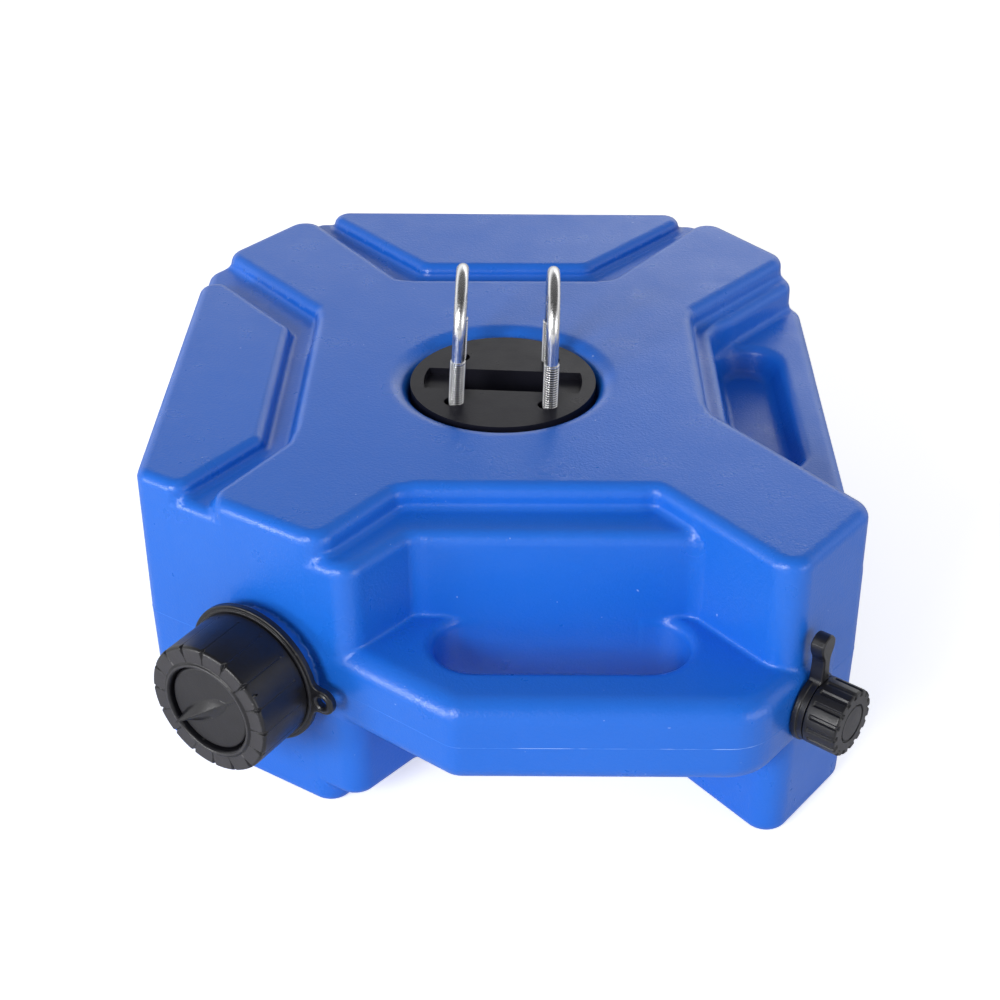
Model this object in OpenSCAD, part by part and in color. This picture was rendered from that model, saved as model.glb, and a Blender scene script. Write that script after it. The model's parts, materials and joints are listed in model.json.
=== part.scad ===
// Flat gas can with a rack mount, lying on one of its two like faces.
// The plan is drawn with the mount hole on the Z axis, X to the right and Y to the back. It is then moved
// so that the origin is the middle of the outline, on the surface that the can lies on. Lengths are in mm.

/* [Can body] */
// Thickness over the two faces
can_t = 121.2; // [114:0.2:130]
// Wall of the moulded shell
wall = 3; // [2:0.5:4]
// Draft of every outer wall, in degrees
draft = 0.7; // [0.4:0.1:2]
// Half width over the flat sides, at the faces
side_x = 131.2; // [130:0.2:136]
// Mount hole to the back wall's left end, at the faces
back_left_y = 161.5; // [158:0.5:168]
// Mount hole to the back wall's right end, at the faces
back_right_y = 159.5; // [156:0.5:166]
// Back left corner: where its chamfer leaves the side
back_left_side = 106; // [104:0.2:108]
// Back right corner: where its chamfer leaves the side
back_right_side = 103; // [101:0.2:105]
// Back corners: where the chamfers meet the back wall
back_corner_x = 88.2; // [85:0.2:90]
// Front left corner: where its chamfer leaves the side
left_corner_y = 70.9; // [68:0.1:74]
// Front left corner: front end of its chamfer, across
left_end_x = 52; // [50:0.5:54]
// Front left corner: front end of its chamfer, forward
left_end_y = 120.9; // [119:0.1:123]
// Front right corner: half width at its chamfer
right_corner_x = 129.9; // [129.6:0.1:131]
// Front right corner: where its chamfer leaves the side
right_corner_y = 89.6; // [88:0.2:92]
// Front right corner: front end of its chamfer, across
right_end_x = 98.3; // [97:0.1:100]
// Front right corner: front end of its chamfer, forward
right_end_y = 129.2; // [127:0.1:131]
// Radius of the upright corners of the raised faces
arm_r = 9; // [7:0.5:11]
// Fillet along the edges of the raised faces
face_fillet = 4.5; // [3:0.5:6]

/* [Raised cross] */
// Half width of the waist
waist_x = 78.3; // [75:0.1:80]
// Mount hole to the waist's back edge
waist_back = 89; // [86:0.5:91]
// Mount hole to the waist's front edge
waist_front = 79.5; // [77:0.5:82]
// Back end of the waist's sides
waist_side_back = 57.5; // [55:0.5:60]
// Front end of the waist's left side
waist_left_front = 46.6; // [44:0.2:49]
// Front end of the waist's right side
waist_right_front = 23.5; // [21:0.5:26]
// Half length of the waist's back edge
waist_back_x = 45.1; // [43:0.1:48]
// Left end of the waist's front edge
waist_front_left = 35.5; // [33:0.5:38]
// Right end of the waist's front edge
waist_front_right = 59.5; // [57:0.5:62]
// Outer corner of the back arms, across
back_arm_out = 125; // [122:0.5:127]
// Inner corner of the back arms, across
back_arm_in = 92.2; // [91:0.1:95]
// Outer corner of the front right arm, across
right_arm_out = 129.2; // [127:0.1:129.4]
// Outer corner of the front left arm, across
left_arm_out = 104.5; // [102:0.5:107]
// Inner corner of the front left arm, across
left_arm_in = 61.7; // [60:0.1:64]

/* [Pads and channels] */
// Depth of the channels around the pads
channel_d = 6; // [4:0.5:8]
// Mount hole to the left pad's inner edge
left_pad_in = 88; // [86.5:0.5:91]
// Back end of the left pad's inner edge
left_pad_back = 43.7; // [41:0.1:46]
// Front end of the left pad's inner edge
left_pad_front = 46.4; // [44:0.2:49]
// Back corner of the left pad on the side
left_pad_corner = 98.5; // [94:0.5:100]
// Front corner of the left pad on the chamfer, across
left_pad_end = 113.9; // [112:0.1:116]
// Mount hole to the back pad's inner edge
back_pad_in = 100.5; // [98.5:0.5:104]
// Half length of the back pad's inner edge
back_pad_in_x = 36; // [33:0.5:39]
// Radius of the pads' upright corners
pad_r = 7; // [6.5:0.5:9]
// Fillet along the pads' edges
pad_fillet = 4; // [3:0.5:5]

/* [Ledges and side grip] */
// Depth of the ledges below the faces
ledge_d = 9; // [7:0.5:11]
// Mount hole to the front ledge's edge
front_ledge_y = 97.5; // [95:0.5:100]
// Left end of the front ledge's edge
front_ledge_left = 31.4; // [29:0.2:33]
// Mount hole to the right ledge's edge
right_ledge_x = 87.5; // [85:0.5:89]
// Back end of the right ledge's edge
right_ledge_back = 57.4; // [55:0.2:60]
// Outer corner of the back right ledge on the chamfer, across
right_ledge_out = 129; // [126:0.5:130]
// Depth of the side block below the faces
side_block_d = 22; // [19:1:25]
// Depth of the grip pocket in the side block
pocket_d = 12; // [9:0.5:14]
// Mount hole to the grip pocket's outer edge
pocket_out = 117; // [114:0.5:119]
// Back end of the grip pocket
pocket_back = 67; // [62:0.5:69]
// Front end of the grip pocket
pocket_front = 33; // [28:0.5:36]
// Radius of the grip pocket's outer corners
pocket_r = 14; // [10:0.5:15]
// Inward slope of the grip pocket's walls
pocket_slope = 4; // [1:0.5:5]

/* [Front handle] */
// Height of the handle bar
handle_h = 34; // [30:1:40]
// Mount hole to the handle's front, at the parting line
handle_y = 149.8; // [147:0.2:153]
// Length of the finger opening
slot_l = 90; // [84:1:94]
// Middle of the finger opening, across
slot_x = 21.5; // [18:0.5:25]
// Mount hole to the front edge of the finger opening
slot_front = 128.6; // [125:0.2:132]
// Fillet along the handle's edges
handle_fillet = 8; // [4:0.5:9]

/* [Mount hole] */
// Width of the shoulder that the plate rests on
plate_seat = 2.8; // [2:0.1:4]
// Rounding of the hole's two mouths
mouth_fillet = 7; // [4:0.5:8]
// Depth of the lower shoulder, which takes the knob
knob_seat_d = 26; // [24:0.5:30]

/* [Filler] */
// Seat of the tether ring above the corner wall
filler_seat = 6.6; // [5:0.2:8]
// Outer radius of the filler collar
collar_r = 25.4; // [24.6:0.1:27]
// Length of the filler collar
collar_l = 23.5; // [22:0.5:26]
// Opening in the filler collar's face
collar_open_r = 17.2; // [16:0.1:18]
// Crest radius of the neck's thread
filler_thread_r = 21; // [20.5:0.1:21.4]
// Bore radius of the filler neck
filler_bore_r = 16; // [14:0.5:16.5]
// Pitch of the filler thread
filler_pitch = 4; // [3.4:0.1:4.6]
// Number of grip notches on the filler collar
notch_count = 20; // [12:1:28]
// Outer radius of the filler's tether ring
filler_ring_r = 27.8; // [27:0.1:29]
// Thickness of the filler's tether ring
filler_ring_t = 3.1; // [2.5:0.1:4]
// Radius of the eyelet in the ring's ear
eyelet_r = 2; // [1.5:0.1:2.5]
// Neck axis to the eyelet
eyelet_at = 31; // [30.5:0.1:33]
// Radius of the ear
ear_r = 5; // [4.5:0.1:6]
// Height of the fin on the stopper, at its tall end
fin_h = 5.4; // [4:0.2:7]
// Length of the fin
fin_l = 25.2; // [18:0.2:29]
// Thickness of the fin at the middle of its foot
fin_t = 6.4; // [3:0.2:8]
// Edge of the stopper's disc to the fin's tall end
fin_edge = 1; // [0.6:0.1:2]
// Turn of the fin's tall end, downwards from the line along the wall, in degrees
fin_turn = 34.5; // [0:0.5:90]

/* [Vent] */
// Shift of the vent from the middle of its corner, towards the front
vent_shift = 15.7; // [14:0.1:17]
// Seat of the tether ring above the corner wall
vent_seat = 5; // [4:0.2:6]
// Outer radius of the vent cap
vent_cap_r = 12; // [11.2:0.1:13]
// Length of the vent cap
vent_cap_l = 11.5; // [10.8:0.1:13]
// Crest radius of the vent neck's thread
vent_thread_r = 8; // [7.6:0.1:8.3]
// Bore radius of the vent neck
vent_bore_r = 4.5; // [3.5:0.1:5]
// Pitch of the vent thread
vent_pitch = 2.5; // [2.2:0.1:2.8]
// Number of grip ribs on the vent cap
vent_rib_count = 16; // [10:1:20]
// Radius of the disc on the vent cap's face
vent_disc_r = 7.2; // [5:0.1:9]
// Outer radius of the vent's tether ring
vent_ring_r = 12.9; // [12.4:0.1:14]
// Thickness of the vent's tether ring
vent_ring_t = 3.3; // [2.6:0.1:4]
// Neck axis to the middle of the tab's head
tab_at = 27; // [22:0.5:30]
// Radius of the tab's head
tab_r = 4; // [3:0.2:5]
// Width of the tab's stem
tab_w = 4.8; // [3:0.2:6]
// Thickness of the tab along the neck axis
tab_t = 6; // [4:0.2:7]

/* [Mount plate] */
// Turn of the plate and its lock in the hole, clockwise from above, in degrees
mount_turn = 4; // [0:1:45]
// Thickness of the plate
plate_t = 10; // [8:0.5:12]
// Depth of the plate's top below the face
plate_drop = 1.6; // [0.6:0.2:3]
// Radius of the arc at the recess's ends
recess_r = 31; // [28:0.5:33]
// Width of the recess and the slot
recess_w = 16.4; // [13:0.2:18]
// Depth of the recess
recess_d = 3; // [2:0.2:4]
// Length of the through slot
plate_slot_l = 38; // [34:0.5:42]
// Wall of the hub under the plate
hub_wall = 2.6; // [2:0.1:3.4]
// Length of the hub
hub_l = 40; // [34:1:48]
// Thickness of the shelf at the hub's foot
shelf_t = 6; // [4:0.5:8]

/* [U-bolts] */
// Radius of the rod over its thread
rod_r = 3; // [2.8:0.05:3.1]
// Radius of the plain shank
shank_r = 2.75; // [2.4:0.05:2.8]
// Half spacing of the two U-bolts and of their legs
leg_at = 18; // [17.7:0.1:18.6]
// Height of the U-bolts above the plate
bolt_rise = 49.5; // [40:0.5:60]
// Length of thread above the plate
thread_rise = 17.5; // [10:0.5:22]
// Width of the nuts across flats
nut_af = 10; // [9:0.1:10.2]
// Height of the nuts
nut_h = 5.2; // [4:0.1:6]
// Radius of the washers
washer_r = 5.8; // [5.2:0.1:6]
// Thickness of the washers
washer_t = 1.6; // [1:0.1:2]

/* [Lock] */
// Radius of the spindle
spindle_r = 4.6; // [4:0.1:4.8]
// Width of the spindle's T head
tee_w = 8.6; // [7:0.1:9.4]
// Height of the spindle's T head
tee_h = 7; // [5:0.5:9]
// Thickness of the knob's flange
knob_t = 7; // [5:0.5:9]
// Width of the knob's grip bar
grip_w = 15; // [12:0.5:18]
// Length of the knob's grip bar
grip_l = 62; // [54:1:66]
// Gap between the grip bar and the surface that the can lies on
grip_lift = 2.5; // [1.5:0.5:4]
// Radius of the knob's sleeve around the spindle
sleeve_r = 11; // [9:0.5:14]
// Length of the knob's sleeve above the flange
sleeve_l = 20; // [16:1:26]
// Radius of the cross pin
pin_r = 2; // [1.5:0.1:2.5]
// Radius of the key barrel
barrel_r = 8; // [7:0.1:9]
// Length of the key barrel
barrel_l = 13; // [10:0.5:14]
// Thickness of the rubber washer over the knob's flange
knob_washer_t = 1.6; // [1:0.1:2.4]

/* [Clearances] */
// Running gap between pieces that turn against each other
run_gap = 0.3; // [0.2:0.05:0.4]
// Radial gap between the threads of a neck and its cap
thread_gap = 0.6; // [0.4:0.05:0.7]
// Radial gap of a shaft, rod or barrel in its hole
bore_gap = 0.05; // [0.02:0.01:0.1]
// Radial gap of a bolt leg in the plate
leg_gap = 0.3; // [0.2:0.05:0.5]
// Radial gap of the plate and the knob in the mouths of the mount hole
mouth_gap = 0.9; // [0.6:0.1:1.2]
// Radial gap around the washers and nuts in the mount hole
tunnel_gap = 2.2; // [1.5:0.1:3]
// Radial gap between the hub and the washers and nuts around it
hub_gap = 0.65; // [0.4:0.05:1]
// Radial gap of the spindle's T head in the hub
tee_gap = 1.3; // [0.8:0.1:2]

/* [Hidden] */
$fn = 64;

can_blue = "#2465d6";
cap_black = "#24242a";
plate_black = "#1c1c20";
steel = "#b9bcc0";
rubber_black = "#141416";

// Overshoot of a cut past a face
over = 1;

// Half heights of the levels, counted from the parting plane at the middle of the can
mid = can_t / 2;
face_h = can_t / 2;
channel_h = face_h - channel_d;
ledge_h = face_h - ledge_d;
block_h = face_h - side_block_d;
bar_h = handle_h / 2;

// The can's outline, at the faces
back_left = [-side_x, back_left_side];
back_left_rear = [-back_corner_x, back_left_y];
back_right = [side_x, back_right_side];
back_right_rear = [back_corner_x, back_right_y];
front_left = [-side_x, -left_corner_y];
front_left_end = [-left_end_x, -left_end_y];
front_right = [right_corner_x, -right_corner_y];
front_right_end = [right_end_x, -right_end_y];

// Growth of the outline from the faces to the parting plane
face_spread = face_h * tan(draft);

// Point at x on the line through p and q
function on_line(p, q, x) = [x, p[1] + (q[1] - p[1]) * (x - p[0]) / (q[0] - p[0])];
function unit(v) = v / norm(v);
function inward(a, b) = let (d = unit(b - a)) [-d[1], d[0]];
// Corner b of a counter-clockwise outline, moved inwards by d from both its edges
function inset_corner(a, b, c, d) =
  let (m = inward(a, b), n = inward(b, c)) b + (m + n) * d / (1 + m * n);
function inset(pts, d) =
  let (k = len(pts)) [for (i = [0:k - 1]) inset_corner(pts[(i + k - 1) % k], pts[i], pts[(i + 1) % k], d)];
// Posts at the corners of an outline, as centre and radius
function posts(pts, r) = [for (p = inset(pts, r)) [p[0], p[1], r]];

// Depth by which an arm's outline reaches into the waist
arm_reach = 30;
function arm(o1, w1, w2, o2) =
  [o1, w1 + unit(w1 - o1) * arm_reach, w2 + unit(w2 - o2) * arm_reach, o2];

waist = [
  [-waist_x, waist_side_back], [-waist_x, -waist_left_front], [-waist_front_left, -waist_front],
  [waist_front_right, -waist_front], [waist_x, -waist_right_front], [waist_x, waist_side_back],
  [waist_back_x, waist_back], [-waist_back_x, waist_back]
];
back_left_arm = arm(on_line(back_left, back_left_rear, -back_arm_out), waist[0], waist[7],
                    on_line(back_left, back_left_rear, -back_arm_in));
back_right_arm = arm(on_line(back_right, back_right_rear, back_arm_in), waist[6], waist[5],
                     on_line(back_right, back_right_rear, back_arm_out));
front_right_arm = arm(on_line(front_right, front_right_end, right_arm_out), waist[4], waist[3],
                      front_right_end);
left_arm_front = on_line(front_left, front_left_end, -left_arm_in);
left_arm_side = on_line(front_left, front_left_end, -left_arm_out);
front_left_arm = arm(left_arm_front, waist[2], waist[1], left_arm_side);

// Points that end a lower level inside the raised cross, as shares of the waist
core_x = waist_x * 0.8;
core_y = waist_front * 0.75;
back_left_mid = on_line(back_left, back_left_rear, -(back_arm_out + back_arm_in) / 2);
back_right_mid = on_line(back_right, back_right_rear, (back_arm_out + back_arm_in) / 2);
left_arm_mid = (left_arm_front + left_arm_side) / 2;
right_arm_mid = on_line(front_right, front_right_end, (right_arm_out + right_end_x) / 2);

left_low = [back_left, front_left, left_arm_mid, [-core_x, -core_y], [-core_x, core_y], back_left_mid];
back_low = [back_left_rear, back_left_mid, [-waist_back_x, core_y], [waist_back_x, core_y],
            back_right_mid, back_right_rear];
left_pad = [[-side_x, left_pad_corner], front_left, on_line(front_left, front_left_end, -left_pad_end),
            [-left_pad_in, -left_pad_front], [-left_pad_in, left_pad_back]];
back_pad = [back_left_rear, [-back_pad_in_x, back_pad_in], [back_pad_in_x, back_pad_in], back_right_rear];
// Ledges that meet at a corner run past it by a lap, so that their rounded ends leave no notch
ledge_lap = 12;
front_ledge_corner = [-front_ledge_left, -front_ledge_y];
right_ledge_corner = [right_ledge_x, right_ledge_back];
back_ledge_out = on_line(back_right, back_right_rear, right_ledge_out);
front_ledge = [front_ledge_corner - [ledge_lap, 0], [right_ledge_x, -front_ledge_y],
               [core_x, -core_y], [-front_ledge_left / 2, -core_y]];
left_ledge = [front_left_end, front_ledge_corner + unit(front_ledge_corner - front_left_end) * ledge_lap,
              [-front_ledge_left / 2, -core_y], [-left_end_x, -core_y], left_arm_mid];
right_ledge = [[right_ledge_x, -waist_left_front], right_ledge_corner + [0, ledge_lap],
               [core_x, right_ledge_back + ledge_lap], [core_x, -waist_right_front]];
back_ledge = [right_ledge_corner - unit(back_ledge_out - right_ledge_corner) * ledge_lap, back_ledge_out,
              back_right_mid, [core_x, waist_back]];
side_block = [front_right, back_right, back_right_mid, [core_x, core_y], [core_x, -core_y], right_arm_mid];

// The origin is the middle of the outline to a tenth: the sides are alike, so only the depth is off the hole
back_top = max([for (p = concat(posts(back_low, arm_r), posts(back_pad, pad_r))) p[1] + p[2]]);
origin_y = (back_top + face_spread - handle_y) / 2;

// Handle bar: posts as centre and radius, at the parting line. The finger opening reaches the front wall.
bar_left_r = 10;
bar_right_r = 20;
slot_r = (slot_front - front_ledge_y) / 2;
slot_y = -(slot_front + front_ledge_y) / 2;
slot_ends = [slot_x - slot_l / 2 + slot_r, slot_x + slot_l / 2 - slot_r];
filler_n = unit([front_left_end[1] - front_left[1], front_left[0] - front_left_end[0]]);
vent_n = unit([front_right[1] - front_right_end[1], front_right_end[0] - front_right[0]]);
vent_t = [-vent_n[1], vent_n[0]];
filler_base = (left_arm_front + left_arm_side) / 2 + filler_n * face_spread;
vent_base = right_arm_mid + vent_n * face_spread - vent_t * vent_shift;
// Front of the bar's right end lies on the vent's seat, so its posts are set back from that plane
vent_land = vent_base + vent_n * vent_seat;
bar_right_y = -handle_y + bar_right_r;
bar_right_x = vent_land[0] + ((bar_right_y - vent_land[1]) * vent_n[1] + bar_right_r) / -vent_n[0];
vent_land_end = vent_land + vent_t * vent_ring_r - vent_n * bar_left_r;
bar_left_base = left_arm_front + filler_n * face_spread - filler_n * bar_left_r;
bar_posts = [
  [bar_left_base[0], bar_left_base[1], bar_left_r],
  [slot_ends[0] - bar_left_r / 2, -handle_y + bar_left_r, bar_left_r],
  [bar_right_x, bar_right_y, bar_right_r],
  [vent_land_end[0], vent_land_end[1], bar_left_r],
  [right_ledge_x, -front_ledge_y + bar_left_r, bar_left_r],
  [-left_end_x, -front_ledge_y + bar_left_r, bar_left_r]
];

// Radii of the mount, from the bolt legs outwards and inwards
leg_r = leg_at * sqrt(2);
nut_r = nut_af / sqrt(3);
foot_r = max(washer_r, nut_r);
tunnel_r = leg_r + foot_r + tunnel_gap;
plate_r = tunnel_r + plate_seat;
hole_r = plate_r + mouth_gap;
knob_r = plate_r;
hub_r = leg_r - foot_r - hub_gap;
hub_bore_r = hub_r - hub_wall;
tee_l = 2 * sqrt(pow(hub_bore_r - tee_gap, 2) - pow(tee_w / 2, 2));

// Levels of the mount
shoulder_d = plate_drop + plate_t;
plate_top = can_t - plate_drop;
plate_z = plate_top - plate_t;
hub_z = plate_z - hub_l;
knob_top = knob_seat_d - knob_washer_t - run_gap;
knob_z = knob_top - knob_t;
bend_z = plate_top + bolt_rise - rod_r - leg_at;
rod_tail = 3;
rod_z = plate_z - washer_t - nut_h - rod_tail;

// Levels along the filler's axis, from the corner wall outwards
filler_ring_z = filler_seat + run_gap;
collar_z = filler_ring_z + filler_ring_t + run_gap;
collar_face = collar_z + collar_l;
lip_t = 3.9;
flange_t = 2.5;
gasket_t = 1.3;
flange_top = collar_face - lip_t - run_gap;
flange_z = flange_top - flange_t;
filler_lip = flange_z - gasket_t - run_gap;
thread_depth = 1.5;
filler_root_r = filler_thread_r - thread_depth;
collar_bore_r = filler_thread_r + thread_gap;
collar_stem_r = filler_thread_r + thread_depth / 2;
// Turns of thread that fit in a length, in whole steps of the ridge
thread_steps = 24;
function whole_turns(l, pitch) = floor(thread_steps * l / pitch) / thread_steps;
filler_turns = whole_turns(filler_lip - collar_z - 1.75 * filler_pitch, filler_pitch);
stopper_r = collar_open_r - 2 * run_gap;
stopper_face = collar_face - 1;
plug_r = filler_bore_r - 2 * run_gap;
plug_l = 10;
plug_wall = 2;

// Levels along the vent's axis
vent_ring_z = vent_seat + run_gap;
vent_cap_z = vent_ring_z + vent_ring_t + run_gap;
vent_face = vent_cap_z + vent_cap_l;
vent_top_t = 2.4;
vent_seal_t = 1.1;
vent_seal_top = vent_face - vent_top_t - run_gap;
vent_lip = vent_seal_top - vent_seal_t - run_gap;
vent_thread_depth = 0.9;
vent_root_r = vent_thread_r - vent_thread_depth;
vent_cap_bore_r = vent_thread_r + thread_gap;
vent_stem_r = vent_thread_r + vent_thread_depth / 2;
vent_turns = whole_turns(vent_lip - vent_cap_z - 1.2 * vent_pitch, vent_pitch);

// Moves the plan to the part's origin
module place() {
  translate([0, -origin_y, 0]) children();
}

// Place of the plate, the bolts and the lock, turned in the hole
module in_mount() {
  place() rotate([0, 0, -mount_turn]) children();
}

// Upright corner post of a level: half height h, radius r at half height ref, edge fillet f
module post(h, r, f, ref, sides) {
  rim = r + (ref - h + f) * tan(draft);
  foot = r + ref * tan(draft);
  soft = 1 - sqrt(0.5);
  upper = [[foot, 0], [rim, h - f], [rim - f * soft, h - f * soft], [rim - f, h], [0, h]];
  lower = [for (i = [4:-1:1]) [upper[i][0], -upper[i][1]]];
  rotate_extrude($fn = sides) polygon(concat(upper, lower));
}

// One convex level of the can, shrunk by skin for its hollow
module level(list, h, f, ref, skin) {
  sides = skin > 0 ? 8 : 16;
  hull() {
    for (p = list) {
      translate([p[0], p[1], mid]) post(h - skin, p[2] - skin, max(f - skin, 1), ref, sides);
    }
  }
}

// Every level of the can. The lower ones stand back by their draft, so no two levels share a wall.
module levels(skin) {
  for (pts = [waist, back_left_arm, back_right_arm, front_right_arm, front_left_arm]) {
    level(posts(pts, arm_r), face_h, face_fillet, face_h, skin);
  }
  for (pts = [left_pad, back_pad]) {
    level(posts(pts, pad_r), face_h, pad_fillet, face_h, skin);
  }
  for (pts = [left_low, back_low]) {
    level(posts(pts, arm_r), channel_h, pad_fillet, channel_h, skin);
  }
  for (pts = [front_ledge, left_ledge, right_ledge, back_ledge]) {
    level(posts(pts, arm_r), ledge_h, face_fillet, ledge_h, skin);
  }
  level(posts(side_block, arm_r), block_h, face_fillet, channel_h, skin);
  level(bar_posts, bar_h, handle_fillet, 0, skin);
}

// Finger opening through the handle, grown by skin
module finger_slot(skin) {
  hull() {
    for (x = slot_ends) {
      translate([x, slot_y, mid - bar_h - over])
        cylinder(r = slot_r + skin, h = handle_h + 2 * over, $fn = 32);
    }
  }
}

// Grip pocket in the top of the side block, grown by skin
module grip_pocket(skin) {
  floor_z = mid + block_h - pocket_d;
  x_in = right_ledge_x + ledge_h * tan(draft) + pocket_r;
  hull() {
    for (x = [x_in, pocket_out - pocket_r], y = [-pocket_front + pocket_r, pocket_back - pocket_r]) {
      translate([x, y, floor_z - skin])
        cylinder(r1 = pocket_r - pocket_slope + skin, r2 = pocket_r + skin, h = pocket_d + skin + over,
                 $fn = 32);
    }
  }
}

// The pocket in both faces of the side block
module grip_pockets(skin) {
  grip_pocket(skin);
  translate([0, 0, can_t]) mirror([0, 0, 1]) grip_pocket(skin);
}

// Frame of a neck: local Z along the neck, local Y along the wall, local X downwards
module neck_frame(base, n) {
  translate([base[0], base[1], mid]) rotate([0, 0, atan2(n[1], n[0])]) rotate([0, 90, 0]) children();
}

// Helical ridge between two radii, one full flank each side
module ridge(foot_r, crest_r, foot_w, crest_w, pitch, z, turns) {
  k = round(thread_steps * turns);
  ring = [[foot_r, -foot_w / 2], [crest_r, -crest_w / 2], [crest_r, crest_w / 2], [foot_r, foot_w / 2]];
  pts = [
    for (i = [0:k]) let (a = 360 * i / thread_steps, h = z + pitch * i / thread_steps)
      for (q = ring) [q[0] * cos(a), q[0] * sin(a), h + q[1]]
  ];
  outward = crest_r > foot_r;
  side = [for (i = [0:k - 1], j = [0:3]) let (a = 4 * i + j, b = 4 * i + (j + 1) % 4)
    each [[a, b, b + 4], [a, b + 4, a + 4]]];
  ends = [[0, 3, 2], [0, 2, 1], [4 * k, 4 * k + 1, 4 * k + 2], [4 * k, 4 * k + 2, 4 * k + 3]];
  faces = concat(side, ends);
  polyhedron(points = pts, faces = outward ? faces : [for (f = faces) [f[0], f[2], f[1]]]);
}

// Depth by which a ridge is rooted in its wall
root = 0.4;

module filler_thread() {
  translate([0, 0, collar_z + filler_pitch])
    ridge(filler_root_r - root, filler_thread_r, filler_pitch * 0.5, filler_pitch * 0.25,
          filler_pitch, 0, filler_turns);
}

module collar_thread() {
  translate([0, 0, collar_z + filler_pitch])
    ridge(collar_bore_r + root, filler_root_r + thread_gap, filler_pitch * 0.45, filler_pitch * 0.25,
          filler_pitch, filler_pitch / 2, filler_turns);
}

module vent_thread() {
  translate([0, 0, vent_cap_z + vent_pitch / 2])
    ridge(vent_root_r - root, vent_thread_r, vent_pitch * 0.4, vent_pitch * 0.2, vent_pitch, 0, vent_turns);
}

module cap_thread() {
  translate([0, 0, vent_cap_z + vent_pitch / 2])
    ridge(vent_cap_bore_r + root, vent_root_r + thread_gap / 2, vent_pitch * 0.32, vent_pitch * 0.16,
          vent_pitch, vent_pitch / 2, vent_turns);
}

// Depth of a neck's foot inside the wall
neck_foot = 9;

module filler_neck() {
  boss_r = filler_ring_r - filler_ring_t;
  translate([0, 0, -neck_foot]) cylinder(r = boss_r, h = neck_foot + filler_seat);
  cylinder(r = collar_stem_r, h = collar_z - run_gap);
  cylinder(r = filler_root_r, h = filler_lip);
  filler_thread();
}

module vent_neck() {
  cylinder(r = vent_stem_r, h = vent_cap_z - run_gap, $fn = 48);
  cylinder(r = vent_root_r, h = vent_lip, $fn = 48);
  vent_thread();
}

// Small step where the rounding of a mouth meets the face
rim_step = 0.05;

// Rounded mouth of the mount hole, cut downwards from a face at z = 0
module mouth() {
  mouth_r = hole_r + mouth_fillet;
  mouth_d = mouth_fillet + rim_step;
  rotate_extrude() difference() {
    translate([0, -mouth_d]) square([mouth_r, mouth_d + over]);
    translate([mouth_r, -mouth_d]) circle(r = mouth_fillet, $fn = 16);
  }
}

// Mount hole: the tunnel, the seats of the plate and the knob, and the two mouths
module mount_hole() {
  translate([0, 0, -over]) cylinder(r = tunnel_r, h = can_t + 2 * over);
  translate([0, 0, can_t - shoulder_d]) cylinder(r = hole_r, h = shoulder_d + over);
  translate([0, 0, -over]) cylinder(r = hole_r, h = knob_seat_d + over);
  translate([0, 0, can_t]) mouth();
  mirror([0, 0, 1]) mouth();
}

// Walls around the mount hole, thicker at its mouths
module mount_walls() {
  mouth_h = mouth_fillet + wall;
  cylinder(r = hole_r + wall, h = can_t);
  for (z = [0, can_t - mouth_h]) {
    translate([0, 0, z]) cylinder(r = hole_r + mouth_fillet, h = mouth_h);
  }
}

// Bore through a neck, from inside the can to past its lip
module neck_bore(r, lip) {
  translate([0, 0, -2 * neck_foot]) cylinder(r = r, h = 2 * neck_foot + lip + over, $fn = 48);
}

// Hollow shell with its necks
module can_body() {
  color(can_blue) place() difference() {
    union() {
      levels(0);
      neck_frame(filler_base, filler_n) filler_neck();
      neck_frame(vent_base, vent_n) vent_neck();
    }
    difference() {
      levels(wall);
      mount_walls();
      finger_slot(wall);
      grip_pockets(wall);
    }
    finger_slot(0);
    grip_pockets(0);
    mount_hole();
    neck_frame(filler_base, filler_n) neck_bore(filler_bore_r, filler_lip);
    neck_frame(vent_base, vent_n) neck_bore(vent_bore_r, vent_lip);
  }
}

module at_filler() {
  place() neck_frame(filler_base, filler_n) children();
}

module at_vent() {
  place() neck_frame(vent_base, vent_n) children();
}

// Flat ring with an ear and its eyelet
module filler_tether_ring() {
  color(cap_black) at_filler() translate([0, 0, filler_ring_z]) difference() {
    union() {
      cylinder(r = filler_ring_r, h = filler_ring_t);
      translate([0, eyelet_at, 0]) cylinder(r = ear_r, h = filler_ring_t);
      translate([-ear_r, 0, 0]) cube([2 * ear_r, eyelet_at, filler_ring_t]);
    }
    translate([0, 0, -over]) cylinder(r = collar_stem_r + run_gap, h = filler_ring_t + 2 * over);
    translate([0, eyelet_at, -over]) cylinder(r = eyelet_r, h = filler_ring_t + 2 * over);
  }
}

// Screw collar, open in the middle, with notches around its face
module filler_collar() {
  notch_w = 1.6;
  notch_d = 1.4;
  color(cap_black) at_filler() {
    difference() {
      translate([0, 0, collar_z]) cylinder(r = collar_r, h = collar_l);
      translate([0, 0, collar_z - over]) cylinder(r = collar_bore_r, h = collar_l - lip_t + over);
      translate([0, 0, collar_z]) cylinder(r = collar_open_r, h = collar_l + over);
      for (i = [0:notch_count - 1]) {
        rotate([0, 0, 360 * i / notch_count])
          translate([collar_r - 2 * notch_d, -notch_w / 2, collar_face - notch_d])
            cube([3 * notch_d, notch_w, 2 * notch_d]);
      }
    }
    collar_thread();
  }
}

// Wedge fin with a pointed foot, from its low end up to a narrow tall end near the disc's edge
module fin() {
  tall_y = fin_edge - stopper_r;
  tip_w = 0.8;
  hull() {
    linear_extrude(height = root)
      polygon([[0, tall_y], [fin_t / 2, tall_y + fin_l / 2],
               [0, tall_y + fin_l], [-fin_t / 2, tall_y + fin_l / 2]]);
    translate([-tip_w / 2, tall_y, 0]) cube([tip_w, tip_w, root + fin_h]);
  }
}

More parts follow.
